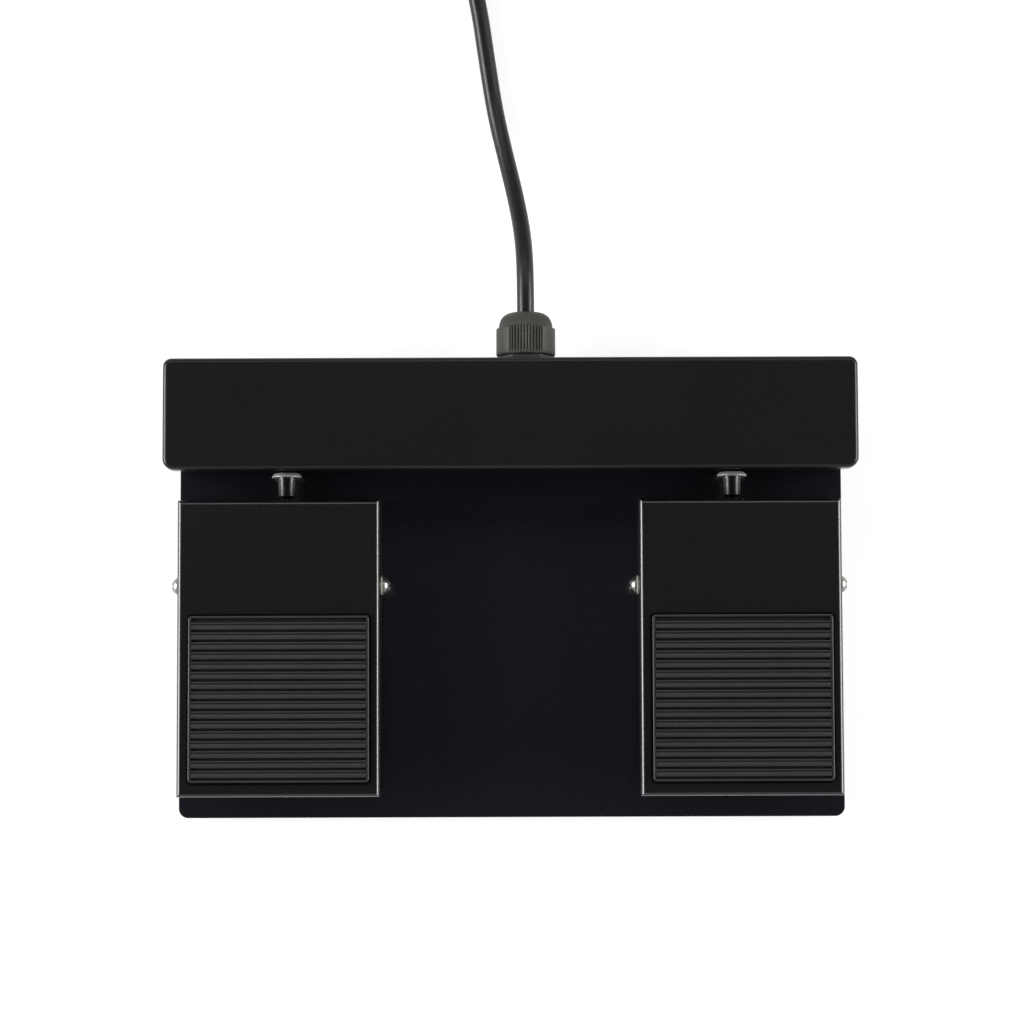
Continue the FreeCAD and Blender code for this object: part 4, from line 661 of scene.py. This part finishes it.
def tread_mats():
    """Ribbed mats inside a rounded rim, each ringed at its foot by a thin near-black strip that paints
    the shadow line round its edge.
    """
    lines = mat_lines()
    for name, sign in SIDES:
        middle = PEDAL_X[sign] + MAT_SIDEWAYS
        side = [(-MAT_HALF + d, z) for d, z in RIM]
        side += [(x - MAT_HALF, None) for x in (RIM_FOOT, 1.2)]
        columns = side + [(x, None) for x in (-14.0, 0.0, 14.0)]
        columns += [(-x, z) for x, z in reversed(side)]

        def build(bm):
            grid = []
            for x, rim in columns:
                row = []
                for y, height in lines:
                    z = height if rim is None else rim
                    if rim is not None and (y > MAT_REAR - RIM_WIDTH or y < MAT_FRONT + RIM_WIDTH):
                        z = max(rim, height)
                    px, py = round_corner(x, y)
                    row.append(bm.verts.new(Vector((middle + px, py, z)) * MM))
                grid.append(row)
            for a, b in zip(grid, grid[1:]):
                for i in range(len(lines) - 1):
                    bm.faces.new((a[i], a[i + 1], b[i + 1], b[i]))
            edge = [row[0] for row in grid] + grid[-1][1:] + [row[-1] for row in reversed(grid[:-1])]
            edge += list(reversed(grid[0][1:-1]))
            low = [bm.verts.new((v.co.x, v.co.y, MAT_BASE * MM)) for v in edge]
            for i in range(len(edge)):
                j = (i + 1) % len(edge)
                bm.faces.new((edge[i], edge[j], low[j], low[i]))
            bm.faces.new(low)

        # Painted shadow: a thin near-black, unreflective strip that shows round the mat's edge.
        def build_shade_rim(bm):
            sections = []
            for grow, z in ((0.75, 0.0), (0.75, 0.14), (-0.5, 0.14), (-0.5, 0.0)):
                sections.append([(x, y, MAT_BASE + z) for x, y in rounded_loop(middle, grow)])
            loft(bm, sections, closed=True)

        shade_rim = mesh_of(f"mat_shade_rim_{name}", build_shade_rim)
        piece(f"mat_shade_rim_{name}", shade_rim, "matte", f"pedal_{name}")
        mesh = mesh_of(f"ribbed_mat_{name}", build)
        piece(f"ribbed_mat_{name}", mesh, "mat", f"pedal_{name}", [f"tread_mat_{name}"], smooth=40)


# ------------------------------------------------------------------- screws, plungers, springs


def pan_head(bm, start, way):
    """A pan head with a domed top and a cross recess."""
    radius, height = 2.8, 2.0
    recess_radius, recess_depth, recess_slope = 1.5, 1.1, 0.12
    along, across, up = AXES[way]
    origin = Vector(start)
    steps, rings = 48, []
    arms = 0.32
    outline = [(radius - 0.12, 0.0), (radius, 0.12)]
    ball = (radius**2 + (height - 0.2) ** 2) / (2 * (height - 0.2))
    for a in (0.3, 0.5, 0.75, 1.0, 1.25, 1.5, 1.65):
        outline.append((math.sqrt(ball**2 - (a - 0.2 + ball - height + 0.2) ** 2), a))
    outline += [(1.35, 1.75), (1.05, 1.85), (0.75, 1.93), (0.4, 1.98)]
    for r, a in outline:
        ring = []
        for i in range(steps):
            angle = 2 * math.pi * i / steps
            x, y = r * math.cos(angle), r * math.sin(angle)
            depth = 0.0
            if r < recess_radius:
                near = min(abs(x), abs(y))
                depth = recess_depth * unit((arms + recess_slope - near) / recess_slope)
                depth *= min((recess_radius - r) / 0.25, 1.0)
            ring.append(bm.verts.new((origin + along * (a - depth) + across * x + up * y) * MM))
        rings.append(ring)
    for a, b in zip(rings, rings[1:]):
        for i in range(steps):
            j = (i + 1) % steps
            bm.faces.new((a[i], a[j], b[j], b[i]))
    top = bm.verts.new((origin + along * (height - recess_depth)) * MM)
    low = bm.verts.new(origin * MM)
    for i in range(steps):
        j = (i + 1) % steps
        bm.faces.new((rings[-1][i], rings[-1][j], top))
        bm.faces.new((rings[0][j], rings[0][i], low))


def thread(length, radius=1.45, pitch=0.5):
    """The profile of a screw shank with its thread drawn as fine grooves."""
    profile = [(0, 0.0), (radius, 0.0), (radius, 1.0)]
    count = int((length - 1.5) / pitch)
    for i in range(count):
        a = 1.0 + i * pitch
        profile += [(radius, a + 0.1), (radius - 0.22, a + 0.3), (radius, a + 0.5)]
    return profile + [(radius - 0.3, length), (0, length)]


def pivots():
    reach = 33.65

    def screws(bm):
        for _, sign in SIDES:
            for out in (-1, 1):
                way, home = ("+x", "-x") if out > 0 else ("-x", "+x")
                x = PEDAL_X[sign] + out * (reach + 0.9)
                pan_head(bm, (x, *PIVOT), way)
                lathe(bm, thread(8.5), (x - 0.02 * out, *PIVOT), home, 24)

    piece("pivot_pan_screws", mesh_of("pivot_pan_screws", screws), "zinc", nodes=["pivot_screws"])
    washers, bushes = [], []
    ring = [(1.6, 0.0), (2.9, 0.0), (3.0, 0.08), (3.0, 0.42), (2.9, 0.5), (1.6, 0.5)]
    bush = [(1.55, 0.0), (2.5, 0.0), (2.5, 2.25), (3.0, 2.25), (3.1, 2.3), (3.1, 2.6)]
    bush += [(3.0, 2.65), (1.55, 2.65)]
    for _, sign in SIDES:
        for out in (-1, 1):
            way = "+x" if out > 0 else "-x"
            washers.append((ring, (PEDAL_X[sign] + out * (reach + 0.4), *PIVOT), way))
            bushes.append((bush, (PEDAL_X[sign] + out * 31.4, *PIVOT), way))
    turned("pivot_flat_washers", "zinc", washers, nodes=["pivot_washers"])
    turned("pivot_flange_bushes", "natural", bushes, nodes=["pivot_bushes"])


def plungers():
    """Dark plungers with domed ends, in bright flanged bushes, with a near-black, unreflective ring
    under each flange as painted shade.
    """
    for name, sign in SIDES:
        start = (PLUNGER_X[sign], 22.8, PLUNGER_Z)
        dome = [(0, 0.0)]
        for i in range(1, 9):
            r = 2.7 * i / 8
            dome.append((r, 5.0 - math.sqrt(25.0 - r * r)))
        rod = dome + [(2.83, 0.88), (2.88, 1.05), (3.08, 6.2), (3.3, 7.1), (3.3, 16.15), (2.8, 16.15)]
        rod += [(2.8, 16.95), (3.3, 16.95), (3.3, 20.2), (3.1, 20.4), (1.6, 20.4), (1.6, 26.4)]
        rod += [(1.3, 26.7), (0, 26.7)]
        mover = {"body": f"plunger_{name}", "nodes": [f"plunger_{name}"]}
        turned(f"plunger_rod_{name}", "dark_steel", [(rod, start, "+y")], steps=64, **mover)
        flange = [(3.35, 0.2), (3.5, 0.02), (4.6, 0.0), (4.92, 0.1), (5.0, 0.3), (4.94, 0.5)]
        flange += [(4.6, 0.95), (4.3, 1.25)]
        barrel = [(4.05, 1.35), (4.0, 2.1)]
        for i in range(8):
            a = 2.4 + i * 0.7
            barrel += [(4.0, a), (3.8, a + 0.2), (3.8, a + 0.35), (4.0, a + 0.55)]
        barrel += [(3.9, 8.6), (3.35, 8.6)]
        start = (PLUNGER_X[sign], 30.0, PLUNGER_Z)
        collar = [(flange + barrel, start, "+y")]
        turned(f"plunger_collar_{name}", "nickel", collar, steps=72, nodes=[f"plunger_bush_{name}"])
        # Painted shade: a near-black, unreflective ring fills the neck under the flange.
        shade_ring = [(4.1, 1.37), (4.4, 1.37), (4.5, 1.5), (4.5, 1.98), (4.4, 2.08), (4.1, 2.08)]
        turned(f"plunger_shade_ring_{name}", "matte", [(shade_ring, start, "+y")])


def springs():
    """Compression springs with closed, flat ends."""
    wire, radius = 0.5, 4.5
    low, high = 7.5, 25.45
    active, closed = 4.6, 1.0
    per_turn, ring_count = 40, 12
    y = -38.0
    for name, sign in SIDES:
        centre = Vector((PEDAL_X[sign], y, 0.0))
        total = active + 2 * closed
        rise = (high - low - 2 * wire - 2 * closed * 2 * wire) / active

        def height(turn):
            if turn < closed:
                return low + wire + 2 * wire * turn
            if turn > total - closed:
                return high - wire - 2 * wire * (total - turn)
            return low + wire + 2 * wire * closed + rise * (turn - closed)

        def build(bm):
            count = int(total * per_turn)
            sections = []
            for i in range(count + 1):
                turn = total * i / count
                angle = 2 * math.pi * turn
                out = Vector((math.cos(angle), math.sin(angle), 0.0))
                middle = centre + out * radius + Vector((0, 0, height(turn)))
                section = []
                for k in range(ring_count):
                    a = 2 * math.pi * k / ring_count
                    point = middle + out * (wire * math.cos(a)) + Vector((0, 0, wire * math.sin(a)))
                    section.append(point)
                sections.append(section)
            loft(bm, sections)

        mesh = mesh_of(f"coil_spring_{name}", build)
        nodes = [f"return_spring_{name}"]
        spring = piece(f"coil_spring_{name}", mesh, "spring", nodes=nodes, smooth=60)
        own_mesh(spring)
        cap = [(0, 0.0), (6.3, 0.0), (6.5, 0.2), (6.5, 1.0), (6.3, 1.2), (3.4, 1.2), (3.2, 1.4)]
        cap += [(3.2, 3.6), (2.6, 4.2), (0, 4.2)]
        top = (PEDAL_X[sign], y, 26.8)
        mover = {"body": f"pedal_{name}", "nodes": [f"spring_cap_{name}"]}
        turned(f"spring_top_cap_{name}", "natural", [(cap, top, "-z")], **mover)
    seat = [(0, 0.0), (2.0, 0.0), (2.0, 2.0), (6.7, 2.0), (7.0, 2.3), (7.0, 3.2), (6.7, 3.5)]
    seat += [(3.4, 3.5), (3.2, 3.7), (3.2, 6.9), (2.6, 7.5), (0, 7.5)]
    seats = [(seat, (PEDAL_X[sign], y, 4.0), "+z") for _, sign in SIDES]
    turned("spring_base_seats", "natural", seats, nodes=["spring_seats"])


def rubber_parts():
    foot = [(3.4, 0.0), (6.1, 0.0), (6.7, 0.3), (7.0, 1.0), (6.9, 3.6), (6.7, 4.0), (1.7, 4.0)]
    foot += [(1.7, 2.6), (3.4, 2.6)]
    feet = [(foot, (x, y, 0.0), "+z") for x in FEET_X for y in FEET_Y]
    turned("moulded_feet", "stop", feet, nodes=["rubber_feet"])
    stop = [(0, 0.0), (2.0, 0.0), (2.0, 2.0), (6.3, 2.0), (6.5, 2.3), (5.2, 14.2), (4.9, 14.9)]
    stop += [(4.2, 15.3), (0, 15.3)]
    stops = [(stop, (PEDAL_X[sign], -60.0, 4.0), "+z") for _, sign in SIDES]
    turned("moulded_bump_stops", "stop", stops, nodes=["bump_stops"])

    def heads(bm):
        for x in FEET_X:
            for y in FEET_Y:
                pan_head(bm, (x, y, 2.6), "-z")
                lathe(bm, thread(6.8), (x, y, 2.58), "+z", 24)

    piece("foot_pan_screws", mesh_of("foot_pan_screws", heads), "zinc", nodes=["foot_screws"])


# ------------------------------------------------------------------------------ floor and light

FLOOR_COLOR, FLOOR_GLOW = 0.32, 0.74
# Each softbox: name, place, size, and how bright its surface is. All aim at the object.
SOFTBOXES = (
    ("left_strip", (-1.6, 0.0, 0.62), (1.2, 0.62), 15.0),
    ("right_strip", (1.6, 0.0, 0.62), (1.2, 0.62), 13.0),
    ("left_box", (-1.3, 0.2, 1.0), (1.2, 0.45), 5.0),
    ("right_box", (1.3, 0.2, 1.0), (1.2, 0.45), 2.6),
    ("front_box", (0.0, -1.5, 1.3), (2.0, 0.5), 0.9),
    ("rear_box", (0.0, 1.1, 1.6), (2.4, 0.7), 1.6),
)
# The sky from the horizon to the zenith, as (height, brightness).
SKY = ((0.0, 0.75), (0.45, 0.36), (0.72, 0.11), (0.9, 0.045))


def stage():
    half, height = 6.0, -0.0002
    mesh = bpy.data.meshes.new("floor")
    corners = [(x * half, y * half, height) for x, y in ((-1, -1), (1, -1), (1, 1), (-1, 1))]
    mesh.from_pydata(corners, [], [(0, 1, 2, 3)])
    material, tree, shader, coords = new_material("floor", [FLOOR_COLOR] * 3, 0.7, specular=0.0)
    uneven = noise(tree, coords, 3.0)
    vary_color(tree, shader, uneven, [FLOOR_COLOR * 0.99] * 3, [FLOOR_COLOR * 1.01] * 3)
    shader.inputs["Emission Color"].default_value = (1.0, 1.0, 1.0, 1.0)
    shader.inputs["Emission Strength"].default_value = FLOOR_GLOW
    mesh.materials.append(material)
    floor = bpy.data.objects.new("floor", mesh)
    scene.collection.objects.link(floor)


def softbox(name, place, size, brightness):
    data = bpy.data.lights.new(name, "AREA")
    data.shape = "RECTANGLE"
    data.size, data.size_y = size
    data.energy = brightness * math.pi * size[0] * size[1]
    light = bpy.data.objects.new(name, data)
    scene.collection.objects.link(light)
    light.location = place
    light.rotation_mode = "QUATERNION"
    light.rotation_quaternion = (-Vector(place)).to_track_quat("-Z", "Y")


def lights():
    world = bpy.data.worlds.new("studio")
    scene.world = world
    world.use_nodes = True
    tree = world.node_tree
    background = tree.nodes["Background"]
    coords = tree.nodes.new("ShaderNodeTexCoord")
    split = tree.nodes.new("ShaderNodeSeparateXYZ")
    ramp = tree.nodes.new("ShaderNodeValToRGB")
    ramp.color_ramp.interpolation = "EASE"
    stops = ramp.color_ramp.elements
    for _ in SKY[2:]:
        stops.new(0.5)
    for stop, (height, brightness) in zip(stops, SKY):
        stop.position = height
        stop.color = (brightness, brightness, brightness * 1.03, 1.0)
    tree.links.new(coords.outputs["Generated"], split.inputs["Vector"])
    tree.links.new(split.outputs["Z"], ramp.inputs["Fac"])
    tree.links.new(ramp.outputs["Color"], background.inputs["Color"])
    background.inputs["Strength"].default_value = 1.0
    for box in SOFTBOXES:
        softbox(*box)
    scene.view_settings.view_transform = "Standard"
    scene.view_settings.look = "None"


# ----------------------------------------------------------------------------------- assembly

camera()
lights()
stage()
dress_nodes()
cord = cable()
coil_tie()
plug_pieces = plug()
gland()
tread_mats()
pivots()
plungers()
springs()
rubber_parts()
